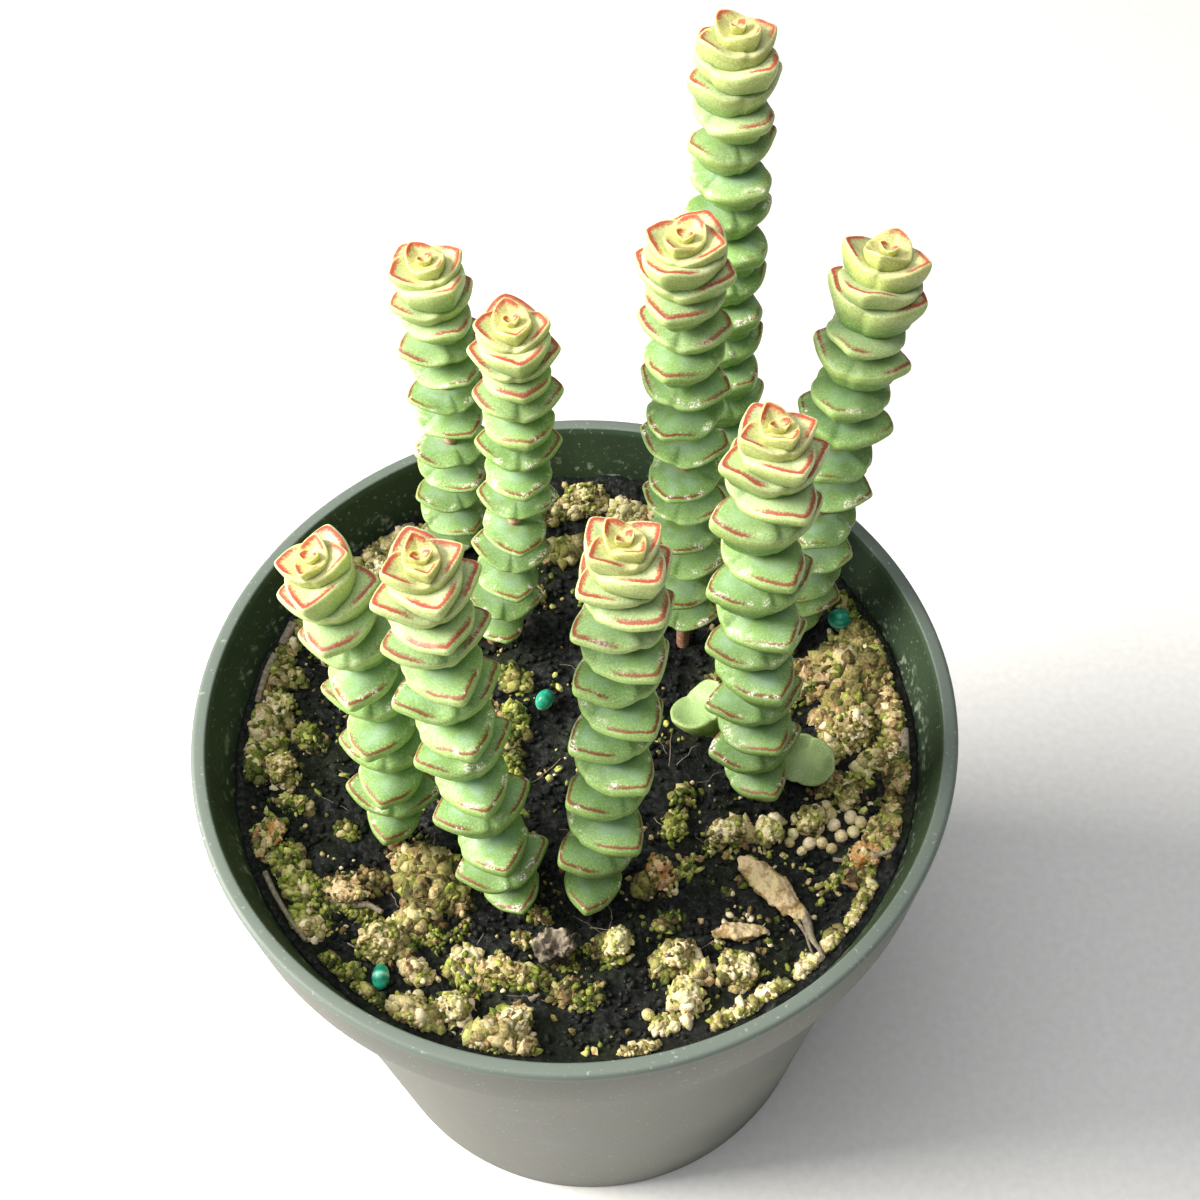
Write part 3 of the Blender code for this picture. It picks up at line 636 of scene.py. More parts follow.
def leaf_skin():
    """Crassula leaf, grown: wet green flesh under a waxy skin with a pale bloom.

    It gives the eye a soft, slightly see-through green that is palest at the bud, a red line just
    inside each margin that fades to the seams, a thin pale edge that is partly a painted highlight,
    and salt-like crusts on old leaves.
    """
    material, tree, place = new_material("crassula_leaf_waxy_grown")
    margin, tip, age, tone = (attribute(tree, name) for name in ("margin", "tip", "age", "tone"))
    soft = cloudy(tree, place, 2.6, 3.0)
    fine = cloudy(tree, place, 0.24, 2.0)
    mottle = cloudy(tree, place, 1.5, 3.0)
    old = rescaled(tree, age, 0.5, 1.0)

    # Upper face: yellow-green in the bud, then green with a blue-white bloom
    top = shaded(tree, age, (0.0, "#D2CC88"), (0.25, "#C6CE9C"), (0.55, "#AEC48E"), (1.0, "#8AAC68"))
    top = over(tree, old, top, over(tree, mottle, "#7DA257", "#98BB76"))
    patches = rescaled(tree, soft, 0.36, 0.62)
    bloom = product(tree, patches, rescaled(tree, margin, 0.8, 2.4), old, 0.7)
    top = over(tree, bloom, top, "#B0D0BA")

    # Outer face: yellow-green by the margin and greener towards the stem
    side = shaded(tree, age, (0.0, "#BCC070"), (0.3, "#B4C27A"), (1.0, "#8EAE5A"))
    side = over(tree, rescaled(tree, margin, -1.2, -4.0), side, "#689240")
    skin = over(tree, rescaled(tree, margin, -0.35, 0.15), side, top)

    # Painted shade: leaves near the mix are painted a deeper green, for the shade low in the plant
    height = add(tree, "ShaderNodeSeparateXYZ", {"Vector": place}, out="Z")
    low = rescaled(tree, height, (SOIL_LEVEL + 34.0) * MM, (SOIL_LEVEL + 4.0) * MM, 0.0, 0.5)
    skin = over(tree, low, skin, "#6E9046")

    # Fine darker and paler dots all over, stronger by the margin
    by_edge = rescaled(tree, margin, 4.0, 0.6, 0.03, 0.26)
    grit = cloudy(tree, place, 0.24, 1.0)
    for start, end, shade in ((0.50, 0.66, "#557A3C"), (0.46, 0.32, "#DCE8BE")):
        skin = over(tree, product(tree, rescaled(tree, grit, start, end), by_edge), skin, shade)

    # Red line inside the margin: sharp on its outer side, breaking up into dots on its inner side,
    # strongest at the tips
    strength = sum_of(tree, "ADD", tip, sum_of(tree, "MULTIPLY_ADD", soft, 0.5, -0.25))
    fade = rescaled(tree, sum_of(tree, "ADD", strength, tone), 0.34, 0.95, curve="SMOOTHSTEP")
    edge = sum_of(tree, "ADD", margin, sum_of(tree, "MULTIPLY_ADD", soft, 0.6, -0.30))
    starts = rescaled(tree, edge, 0.0, 0.30, curve="SMOOTHSTEP")
    far = rescaled(tree, old, 0.0, 1.0, 1.15, 0.85)
    near = rescaled(tree, old, 0.0, 1.0, 0.26, 0.20)
    share = product(tree, starts, rescaled(tree, edge, far, near), fade)
    share = sum_of(tree, "ADD", share, sum_of(tree, "MULTIPLY_ADD", fine, 0.8, -0.40))
    share = rescaled(tree, share, 0.12, 0.80, 0.0, 0.95, curve="SMOOTHSTEP")
    red = shaded(tree, age, (0.0, "#B84A36"), (0.35, "#A84236"), (0.7, "#8E4232"), (1.0, "#804028"))
    red = over(tree, rescaled(tree, fade, 0.05, 0.7), "#AE8A48", red)
    skin = over(tree, share, skin, red)

    # Thin pale edge right on the margin: partly the margin's own pale skin, partly a painted
    # highlight where its sharp edge catches the light
    off_edge = sum_of(tree, "ABSOLUTE", sum_of(tree, "ADD", margin, 0.12))
    pale = rescaled(tree, old, 0.0, 1.0, 0.30, 0.10)
    skin = over(tree, product(tree, rescaled(tree, off_edge, 0.14, 0.02), pale), skin, "#E9DFAE")

    # A few salt crusts along the line of old leaves
    crust = product(
        tree,
        rescaled(tree, cloudy(tree, place, 1.9, 5.0), 0.56, 0.63),
        rescaled(tree, margin, -0.30, 0.10),
        rescaled(tree, edge, 1.3, 0.7),
        rescaled(tree, fine, 0.47, 0.56),
        old,
    )
    skin = over(tree, crust, skin, "#F7F3E4")

    return close_material(
        material,
        {
            "Base Color": skin,
            "Roughness": 0.46,
            "IOR": 1.42,
            "Specular IOR Level": 0.45,
            "Subsurface Weight": 0.30,
            "Subsurface Radius": (0.9, 1.0, 0.35),
            "Subsurface Scale": 1.6 * MM,
            "Normal": bumps(tree, sum_of(tree, "MULTIPLY_ADD", fine, 0.25, crust), 0.22, 0.08),
        },
    )


def stem_bark():
    """Succulent stem, grown: a thin pinkish brown cork with pale rings where leaves have joined."""
    material, tree, place = new_material("crassula_stem_corky_grown")
    squeezed = add(tree, "ShaderNodeMapping", {"Vector": place, "Scale": (1.0, 1.0, 3.0)})
    patches = cloudy(tree, squeezed, 1.4, 5.0)
    base = shaded(tree, patches, (0.30, "#8E5E48"), (0.52, "#B98A72"), (0.72, "#D2AE92"))
    normal = bumps(tree, patches, 0.5, 0.1)
    return close_material(material, {"Base Color": base, "Roughness": 0.7, "Normal": normal})


def pot_plastic(name, light, dark, lip_colour, roughness, scum):
    """Polypropylene, injection moulded: a satin, cloudy grey with light scuffs and a greener lip.

    The inside is the same plastic darkened by water and algae, with pale scum above the mix.
    """
    material, tree, place = new_material(name)
    height = add(tree, "ShaderNodeSeparateXYZ", {"Vector": place}, out="Z")
    cloud = cloudy(tree, place, 16.0, 6.0)
    base = shaded(tree, cloud, (0.34, dark), (0.64, light))
    lip = rescaled(tree, height, (POT_HEIGHT - 1.3) * MM, (POT_HEIGHT - 0.7) * MM)
    base = over(tree, lip, base, lip_colour)
    grit = cloudy(tree, place, 0.6, 4.0)
    base = over(tree, product(tree, rescaled(tree, grit, 0.64, 0.74), 0.40), base, "#C4CCC4")
    if scum:
        patches = rescaled(tree, cloudy(tree, place, 1.3, 5.0), 0.56, 0.68)
        low = rescaled(tree, height, (SOIL_LEVEL + 8.0) * MM, (SOIL_LEVEL + 4.5) * MM)
        base = over(tree, product(tree, patches, low, 0.5), base, "#B4C0AC")
    satin = rescaled(tree, cloud, 0.3, 0.7, roughness - 0.06, roughness + 0.08)
    normal = bumps(tree, grit, 0.12, 0.05)
    inputs = {"Base Color": base, "Roughness": satin, "IOR": 1.49, "Normal": normal}
    return close_material(material, inputs)


def peat():
    """Peat potting mix, milled and wet: nearly black crumbs that glint where water films them."""
    material, tree, place = new_material("peat_mix_milled_wet")
    crumbs = cloudy(tree, place, 0.7, 6.0)
    steps = ((0.30, "#040605"), (0.50, "#0B0F0D"), (0.66, "#141915"), (0.80, "#262B22"))
    base = shaded(tree, crumbs, *steps)
    algae = rescaled(tree, cloudy(tree, place, 9.0, 4.0), 0.52, 0.68)
    base = over(tree, product(tree, algae, 0.45), base, "#232A12")
    fibres = rescaled(tree, cells(tree, place, 0.8), 0.16, 0.06)
    base = over(tree, product(tree, fibres, 0.30), base, "#7E8272")
    wet = rescaled(tree, crumbs, 0.40, 0.62, 0.95, 0.55)
    inputs = {"Base Color": base, "Roughness": wet, "Specular IOR Level": 0.3}
    inputs["Normal"] = bumps(tree, crumbs, 0.8, 0.35)
    return close_material(material, inputs)


def crumbly(name, shades, moss, grain, roughness):
    """A weathered, crumbly stuff whose crumbs differ in tone, with some moss or algae on them."""
    material, tree, place = new_material(name)
    grains = cloudy(tree, place, grain, 6.0)
    mixed = product(tree, sum_of(tree, "ADD", attribute(tree, "shade"), grains), 0.5)
    steps = [(0.28 + 0.44 * i / (len(shades) - 1), code) for i, code in enumerate(shades)]
    base = shaded(tree, mixed, *steps)
    film = rescaled(tree, cloudy(tree, place, 3.2, 4.0), 0.50, 0.64)
    base = over(tree, product(tree, film, moss), base, "#A8AE56")
    # Pits sunk by the bump, with painted shade: their middles are painted a darker brown
    shaded_pits = product(tree, rescaled(tree, cells(tree, place, 1.6 * grain), 0.30, 0.08), 0.35)
    base = over(tree, shaded_pits, base, "#6E5633")
    normal = bumps(tree, sum_of(tree, "SUBTRACT", grains, shaded_pits), 0.7, 0.2)
    return close_material(material, {"Base Color": base, "Roughness": roughness, "Normal": normal})


def bead_coat():
    """Feed bead, resin coated: a smooth, cloudy teal with a satin shine and a pale line round it."""
    material, tree, place = new_material("feed_bead_resin_coated")
    cloud = cloudy(tree, place, 0.9, 4.0)
    base = shaded(tree, cloud, (0.30, "#0B6B55"), (0.55, "#1E9C7E"), (0.78, "#6CCDB2"))
    base = over(tree, product(tree, attribute(tree, "shade"), 0.7), base, "#A8E0CC")
    inputs = {"Base Color": base, "Roughness": 0.34, "Subsurface Weight": 0.1}
    inputs["Normal"] = bumps(tree, cloud, 0.2, 0.05)
    return close_material(material, inputs)


def floor_paper():
    """Background paper, matt: a plain pale sheet that only takes a soft shadow."""
    material, tree, place = new_material("background_paper_matt")
    base = shaded(tree, cloudy(tree, place, 1.5, 2.0), (0.3, "#DFDFDE"), (0.7, "#E6E6E5"))
    inputs = {"Base Color": base, "Roughness": 0.9, "Specular IOR Level": 0.1}
    return close_material(material, inputs)


# Shared modelling helpers


def deselect():
    """Leaves nothing selected."""
    for obj in bpy.context.view_layer.objects:
        obj.select_set(False)


def select_only(objects):
    """Selects these objects and makes the first one active."""
    deselect()
    for obj in objects:
        obj.select_set(True)
    bpy.context.view_layer.objects.active = objects[0]


def joined(objects, name):
    """Joins the objects into one piece with that name."""
    select_only(objects)
    if len(objects) > 1:
        bpy.ops.object.join()
    piece = bpy.context.view_layer.objects.active
    piece.name = name
    piece.data.name = name
    piece.select_set(False)
    return piece


def placed(name, data):
    """A new object in the scene, with this mesh, curve, lamp or camera."""
    obj = bpy.data.objects.new(name, data)
    bpy.context.scene.collection.objects.link(obj)
    return obj


def tubes(name, paths, width, resolution, material):
    """Closed tubes along paths of places in metres with their share of the width, as one mesh."""
    curve = bpy.data.curves.new(name, "CURVE")
    curve.dimensions = "3D"
    curve.bevel_depth = width
    curve.bevel_resolution = resolution
    curve.use_fill_caps = True
    for path in paths:
        spline = curve.splines.new("POLY")
        spline.points.add(len(path) - 1)
        for point, (place, share) in zip(spline.points, path):
            point.co = (*place, 1.0)
            point.radius = share
    curve.materials.append(MATERIALS[material])
    select_only([placed(name, curve)])
    bpy.ops.object.convert(target="MESH")
    return bpy.context.view_layer.objects.active


def write_points(mesh, name, values):
    """Gives each point of the mesh its value under this name, for the materials to read."""
    layer = mesh.attributes.new(name, "FLOAT", "POINT")
    layer.data.foreach_set("value", np.array(values, dtype=np.float32))


def settle(piece, slot, *nodes):
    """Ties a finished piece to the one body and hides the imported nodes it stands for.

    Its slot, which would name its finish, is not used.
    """
    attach(piece, "root")
    if nodes:
        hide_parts(*nodes)


# Pot


def pot_inner_radius(z):
    """Radius in mm of the pot's inner wall at height z: the body's taper, then the skirt's."""
    floor = FOOT_HEIGHT + FLOOR_THICKNESS
    shelf = SKIRT_BOTTOM - POT_WALL
    if z < shelf:
        t = (z - floor) / (shelf - floor)
        return BASE_RADIUS - POT_WALL + t * (BODY_TOP_RADIUS - BASE_RADIUS)
    t = (z - shelf) / (POT_HEIGHT - shelf)
    low = BODY_TOP_RADIUS - POT_WALL
    return low + t * (RIM_RADIUS - LIP_WIDTH - low)


def rounded_outline(corners):
    """An outline in which each corner (radius out, height, rounding) is an arc of its rounding."""
    outline = [Vector(corners[0][:2])]
    for before, corner, after in zip(corners, corners[1:], corners[2:]):
        here = Vector(corner[:2])
        back = (Vector(before[:2]) - here).normalized()
        on = (Vector(after[:2]) - here).normalized()
        if corner[2] == 0:
            outline.append(here)
            continue
        half = back.angle(on) / 2
        start = here + back * corner[2] / math.tan(half)
        end = here + on * corner[2] / math.tan(half)
        centre = here + (back + on).normalized() * corner[2] / math.sin(half)
        for i in range(CORNER_STEPS + 1):
            t = i / CORNER_STEPS
            spoke = (start - centre).normalized().slerp((end - centre).normalized(), t)
            outline.append(centre + spoke * corner[2])
    outline.append(Vector(corners[-1][:2]))
    return outline


def make_pot():
    """The moulded pot, turned from its profile, with its drain holes cut."""
    floor = FOOT_HEIGHT + FLOOR_THICKNESS
    inner_shelf = SKIRT_BOTTOM - POT_WALL
    corners = [
        (0.0, FOOT_HEIGHT, 0.0),
        (BASE_RADIUS - FOOT_WIDTH - FOOT_HEIGHT / 2, FOOT_HEIGHT, 0.4),
        (BASE_RADIUS - FOOT_WIDTH, 0.0, 0.4),
        (BASE_RADIUS, 0.0, 0.7),
        (BODY_TOP_RADIUS, SKIRT_BOTTOM, 0.3),
        (RIM_RADIUS - 2 * SKIRT_STEP, SKIRT_BOTTOM + SKIRT_RISE, 0.5),
        (RIM_RADIUS, POT_HEIGHT, 0.7),
        (RIM_RADIUS - LIP_WIDTH, POT_HEIGHT, LIP_ROUNDING),
        (pot_inner_radius(inner_shelf), inner_shelf, 2.0),
        (pot_inner_radius(floor), floor, 1.5),
        (0.0, floor, 0.0),
    ]
    outline = rounded_outline(corners)
    bm = bmesh.new()
    points = [bm.verts.new((p.x * MM, 0.0, p.y * MM)) for p in outline]
    edges = [bm.edges.new(pair) for pair in zip(points, points[1:])]
    bmesh.ops.spin(
        bm,
        geom=points + edges,
        cent=(0, 0, 0),
        axis=(0, 0, 1),
        angle=2 * math.pi,
        steps=POT_SEGMENTS,
        use_merge=True,
    )
    bmesh.ops.remove_doubles(bm, verts=bm.verts, dist=0.01 * MM)
    bmesh.ops.recalc_face_normals(bm, faces=bm.faces)
    mesh = bpy.data.meshes.new("nursery_pot_moulded")
    bm.to_mesh(mesh)
    bm.free()
    pot = placed(mesh.name, mesh)
    cutters = []
    for i in range(DRAIN_COUNT):
        angle = 2 * math.pi * i / DRAIN_COUNT
        bpy.ops.mesh.primitive_cylinder_add(
            vertices=DRAIN_SIDES,
            radius=DRAIN_RADIUS * MM,
            depth=4 * floor * MM,
            location=(DRAIN_CIRCLE * math.cos(angle) * MM, DRAIN_CIRCLE * math.sin(angle) * MM, 0),
        )
        cutters.append(bpy.context.view_layer.objects.active)
    cutter = joined(cutters, "drain_cutter")
    cut = pot.modifiers.new("Drains", "BOOLEAN")
    cut.operation = "DIFFERENCE"
    cut.object = cutter
    cut.solver = "EXACT"
    select_only([pot])
    bpy.ops.object.modifier_apply(modifier=cut.name)
    bpy.data.objects.remove(cutter)
    pot.data.shade_smooth()
    pot.data.set_sharp_from_angle(angle=math.radians(SHARP_ANGLE))
    outside = pot_plastic("polypropylene_moulded_satin", "#67685E", "#4E5048", "#646F67", 0.50, False)
    inside = pot_plastic("polypropylene_moulded_wet", "#2C3F27", "#1F301E", "#374B34", 0.60, True)
    pot.data.materials.clear()
    pot.data.materials.append(outside)
    pot.data.materials.append(inside)
    for face in pot.data.polygons:
        inward = face.normal.xy.dot(face.center.xy) < 0
        between = floor - INSIDE_ROOM < face.center.z / MM < POT_HEIGHT - LIP_ROUNDING
        face.material_index = int(inward and between)
    settle(pot, "pot", "pot")


# Potting mix


def all_bases():
    """Where every stem comes out of the mix."""
    return [Vector(plan[0]) for plan in STEMS.values()]


def soil_height(x, y, bases):
    """Height of the mix in mm: level, higher at the wall, bumpy, and low at each stem's foot."""
    outward = math.hypot(x, y) / pot_inner_radius(SOIL_LEVEL)
    bump = BUMP_HEIGHT * noise.noise(Vector((x / BUMP_SIZE, y / BUMP_SIZE, 0.0)))
    height = SOIL_LEVEL + SOIL_EDGE_RISE * min(outward, 1.0) ** SOIL_EDGE_POWER + bump
    nearest = min((base - Vector((x, y))).length for base in bases)
    blend = min(1.0, max(0.0, 2.0 - 2.0 * nearest / FOOT_RADIUS))
    return height * (1 - blend) + (SOIL_LEVEL - FOOT_DROP) * blend


def ground(x, y, bases):
    """The mix's height in mm with its clods and grains."""
    clods = noise.fractal(Vector((x / CLOD_SIZE, y / CLOD_SIZE, CLOD_START)), *CLOD_OCTAVES)
    grains = noise.noise(Vector((x / GRAIN_SIZE, y / GRAIN_SIZE, GRAIN_START)))
    return soil_height(x, y, bases) + CLOD_HEIGHT * clods + GRAIN_HEIGHT * grains


def make_soil(bases):
    """The potting mix: a round surface with clods and grains, closed down to the pot's floor."""
    deselect()
    bpy.ops.mesh.primitive_grid_add(x_subdivisions=SOIL_CELLS, y_subdivisions=SOIL_CELLS, size=2.0)
    soil = bpy.context.view_layer.objects.active
    edge = pot_inner_radius(SOIL_LEVEL + SOIL_EDGE_RISE) - SOIL_WALL_GAP
    for vertex in soil.data.vertices:
        u, v = vertex.co.x, vertex.co.y
        x = edge * u * math.sqrt(1 - v * v / 2)
        y = edge * v * math.sqrt(1 - u * u / 2)
        vertex.co = (x * MM, y * MM, ground(x, y, bases) * MM)
    bm = bmesh.new()
    bm.from_mesh(soil.data)
    rim = [e for e in bm.edges if e.is_boundary]
    for z in (SKIRT_BOTTOM - POT_WALL - SOIL_BEND, FOOT_HEIGHT + FLOOR_THICKNESS + SOIL_FLOOR_GAP):
        grown = bmesh.ops.extrude_edge_only(bm, edges=rim)["geom"]
        rim = [item for item in grown if isinstance(item, bmesh.types.BMEdge)]
        radius = (pot_inner_radius(z) - SOIL_WALL_GAP) * MM
        for vertex in {v for e in rim for v in e.verts}:
            flat = vertex.co.xy.normalized() * radius
            vertex.co = (flat.x, flat.y, z * MM)
    bmesh.ops.contextual_create(bm, geom=rim)
    bmesh.ops.recalc_face_normals(bm, faces=bm.faces)
    bm.to_mesh(soil.data)
    bm.free()
    soil.data.shade_smooth()
    soil.data.materials.append(MATERIALS["peat"])
    piece = joined([soil], "potting_mix_surface")
    settle(piece, "soil", "soil")


# Leafy stems


def pair_plan(name, plan, draw):
    """A stem's leaf pairs, youngest first: height over the mix, azimuth, reach and form."""
    top, azimuth, turn, reach = plan[2], *plan[4:]
    pairs = []
    for number, depth in enumerate(DEPTHS[name]):
        form = ROSETTE[number] if number < len(ROSETTE) else GROWN
        share = min(1.0, form[0] * OPEN_ROSETTES.get(name, 1.0))
        if number == 0:
            share = FIRST_REACH.get(name, share)
        if number % 2:
            share *= SECOND_REACH
        heading = azimuth + (turn - 90 if number % 2 else 0)
        heading += draw.uniform(-TURN_SPREAD, TURN_SPREAD)
        grown = reach * share * (1 + draw.uniform(-REACH_SPREAD, REACH_SPREAD))
        pairs.append((top - depth, heading, grown, form))
    height, heading, grown, form = pairs[-1]
    pairs[-1] = (height, heading + LOWEST_TURN.get(name, 0), grown * LOWEST_REACH, form)
    return pairs


def axis_point(plan, height):
    """Point in mm of a stem's centre line at this height over the mix."""
    base, tip, top, bow = plan[:4]
    t = height / top
    swell = 4 * t * (1 - t)
    x, y = (base[i] + (tip[i] - base[i]) * t + bow[i] * swell for i in (0, 1))
    return Vector((x, y, SOIL_LEVEL + height))


def axis_turn(plan, height):
    """Rotation from upright to the stem's own direction at this height."""
    ahead = axis_point(plan, height + 1.0) - axis_point(plan, height - 1.0)
    return UP.rotation_difference(ahead.normalized()).to_matrix()


def smooth_rows(table, count):
    """Points at even steps along a smooth curve through the table's rows."""
    table = np.array(table)
    steps = np.linspace(0, len(table) - 1, count)
    first = np.minimum(steps.astype(int), len(table) - 2)
    f = (steps - first)[:, None]
    padded = np.vstack([table[:1], table, table[-1:]])
    a, b, c, d = (padded[first + i] for i in range(4))
    return b + 0.5 * f * (c - a + f * (2 * a - 5 * b + 4 * c - d + f * (3 * (b - c) + d - a)))


def leaf_outline(name):
    """The power and the width of a stem's leaf outline."""
    if name.startswith("shoot"):
        return SHOOT_POWER, SHOOT_WIDTH
    if name in OPEN_ROSETTES:
        return ROUND_POWER, ROUND_WIDTH
    return OUTLINE_POWER, PAIR_WIDTH


def pair_surface(name, reach, form, depth, draw):
    """A leaf pair round the origin, in mm, with its tips at azimuth 0 and 180.

    Returns its points as rows by columns, each point's distance inside the margin, and how near
    each column is to a tip.
    """
    _, middle, seam, top, mix, _ = form
    power, width = leaf_outline(name)
    column = np.arange(PAIR_COLUMNS) * 4 / PAIR_COLUMNS
    own = math.pi / 2 * (column - CROWDING * np.sin(2 * math.pi * column) / (2 * math.pi))
    tip = np.abs(np.cos(own))
    from_seam = np.arcsin(np.clip(tip, 0, 1))
    outline = (tip / reach) ** power + (np.abs(np.sin(own)) / (reach * width)) ** power
    outline = outline ** (-1 / power)
    outline *= 1 - NOTCH_DEPTH * np.exp(-((from_seam / NOTCH_WIDTH) ** 2))
    from_tip = math.pi / 2 - from_seam
    outline *= 1 - TIP_POINT + TIP_POINT * np.exp(-((from_tip / TIP_POINT_WIDTH) ** 2))
    lift = seam + (top - seam) * tip ** (LIFT_POWER + (YOUNG_LIFT_POWER - LIFT_POWER) * mix)
    lift -= SEAM_DIP * np.exp(-((from_seam / SEAM_DIP_WIDTH) ** 2))
    side = np.cos(own) * np.sign(np.sin(own) + 1e-9)
    lift += LOBE_TWIST * np.tanh(side / LOBE_TURN) * np.exp(-((from_seam / LOBE_WIDTH) ** 2))
    for waves in WAVES:
        lift += WAVE_HEIGHT * np.sin(waves * own + draw.uniform(0, 2 * math.pi))
        outline *= 1 + WAVE_HEIGHT * np.sin(waves * own + draw.uniform(0, 2 * math.pi)) / 2
    old = smooth_rows(OLD_ROWS, PAIR_ROWS + 1)
    young = smooth_rows(YOUNG_ROWS, PAIR_ROWS + 1)
    share, rise, drop = (old + (young - old) * mix).T[:, :, None]
    radius = share * outline
    drop = drop * (1 + TIP_THICKNESS * tip**2 * (1 - drop))
    z = (middle + rise * (lift - middle)) * reach - drop * depth
    points = np.stack([radius * np.cos(own), radius * np.sin(own), z], axis=2)
    steps = np.linalg.norm(np.diff(points, axis=0), axis=2)
    walked = np.vstack([np.zeros((1, PAIR_COLUMNS)), np.cumsum(steps, axis=0)])
    crest = CREST * PAIR_ROWS // (len(OLD_ROWS) - 1)
    inside = walked[crest] - walked
    return points, inside, tip


def make_pair_template():
    """A ball whose points know their row and column, to be shaped into each leaf pair."""
    deselect()
    bpy.ops.mesh.primitive_uv_sphere_add(segments=PAIR_COLUMNS, ring_count=PAIR_ROWS, radius=1.0)
    ball = bpy.context.view_layer.objects.active
    co = np.empty(len(ball.data.vertices) * 3)
    ball.data.vertices.foreach_get("co", co)
    co = co.reshape(-1, 3)
    row = np.rint(np.arccos(np.clip(co[:, 2], -1, 1)) / math.pi * PAIR_ROWS).astype(int)
    column = np.rint(np.arctan2(co[:, 1], co[:, 0]) / (2 * math.pi) * PAIR_COLUMNS).astype(int)
    return {"ball": ball, "row": row, "column": column % PAIR_COLUMNS}


def shape_pair(template, centre, turn, heading, surface, age, tone):
    """One leaf pair as its own object, in place, with what its skin's colours follow."""
    points, inside, tip = surface
    row, column = template["row"], template["column"]
    spin = np.array(turn @ Matrix.Rotation(math.radians(heading), 3, "Z"))
    corners = (points[row, column] @ spin.T + np.array(centre)) * MM
    mesh = template["ball"].data.copy()
    mesh.vertices.foreach_set("co", corners.ravel())
    write_points(mesh, "margin", inside[row, column])
    write_points(mesh, "tip", tip[column])
    write_points(mesh, "age", np.full(len(row), age))
    write_points(mesh, "tone", np.full(len(row), tone))
    mesh.materials.append(MATERIALS["leaf"])
    return placed("pair", mesh)


def bare_stem(plan, top):
    """The thin stem that the pairs are threaded on, as a tube along the stem's line."""
    path = [((axis_point(plan, 0.0) - ROOT_DEPTH * UP) * MM, 1.0)]
    for i in range(int(top / STEM_STEP) + 1):
        path.append((axis_point(plan, STEM_STEP * i) * MM, 1.0))
    return tubes("bare_stem", [path], STEM_RADIUS * MM, STEM_SIDES, "stem")


def make_stem(name, plan, draw, shape_draw, template):
    """A leafy stem: crossed leaf pairs from the bud down, threaded on the bare stem."""
    pairs = pair_plan(name, plan, draw)
    thin_from, thin_foot = THIN_STEMS.get(name, (len(pairs), DEEPEST_FOOT))
    objects = []
    if not name.startswith("shoot"):
        height, heading, *_ = pairs[0]
        bud = pair_surface(name, plan[6] * BUD_REACH, ROSETTE[0], BUD_DEPTH, shape_draw)
        centre = axis_point(plan, height + BUD_RISE)
        turn = axis_turn(plan, height)
        objects.append(shape_pair(template, centre, turn, heading + 90, bud, 0.0, 0.0))
    for number, (height, heading, reach, form) in enumerate(pairs):
        below = pairs[number + 1][0] if number + 1 < len(pairs) else 0.0
        thinned = min(1.0, max(0.0, (number - thin_from) / THINNING_PAIRS + 1.0))
        deepest = DEEPEST_FOOT + (thin_foot - DEEPEST_FOOT) * thinned
        depth = max(min(height - below + form[5], deepest * reach), LEAST_DEPTH)
        surface = pair_surface(name, reach, form, depth, shape_draw)
        age = min(1.0, max(number / FULL_AGE, SHOOT_AGE.get(name, 0.0)))
        tone = shape_draw.uniform(-TONE_SPREAD, TONE_SPREAD) - LESS_RED.get(name, 0.0)
        turn = axis_turn(plan, height)
        centre = axis_point(plan, height)
        objects.append(shape_pair(template, centre, turn, heading, surface, age, tone))
    objects.append(bare_stem(plan, pairs[0][0] - STEM_END))
    piece = joined(objects, "leafy_" + name)
    piece.data.shade_smooth()
    settle(piece, "leaf", name)


# Loose pieces on the mix


def kind_of(node):
    """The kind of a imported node, or None where it isn't a loose piece."""
    return KINDS.get(node.split("_")[0])


def rounded_copy(node, kind):
    """A copy of a packed loose piece, rounded by subdivision."""
    piece = placed(node + "_detailed", frame["nodes"][node].data.copy())
    bm = bmesh.new()
    bm.from_mesh(piece.data)
    bmesh.ops.remove_doubles(bm, verts=bm.verts, dist=SAME_PLACE * MM)
    bm.to_mesh(piece.data)
    bm.free()
    rounding = piece.modifiers.new("Rounding", "SUBSURF")
    rounding.levels = BEAD_LEVELS if kind == "bead" else PIECE_LEVELS
    rounding.render_levels = rounding.levels
    select_only([piece])
    bpy.ops.object.modifier_apply(modifier=rounding.name)
    return piece


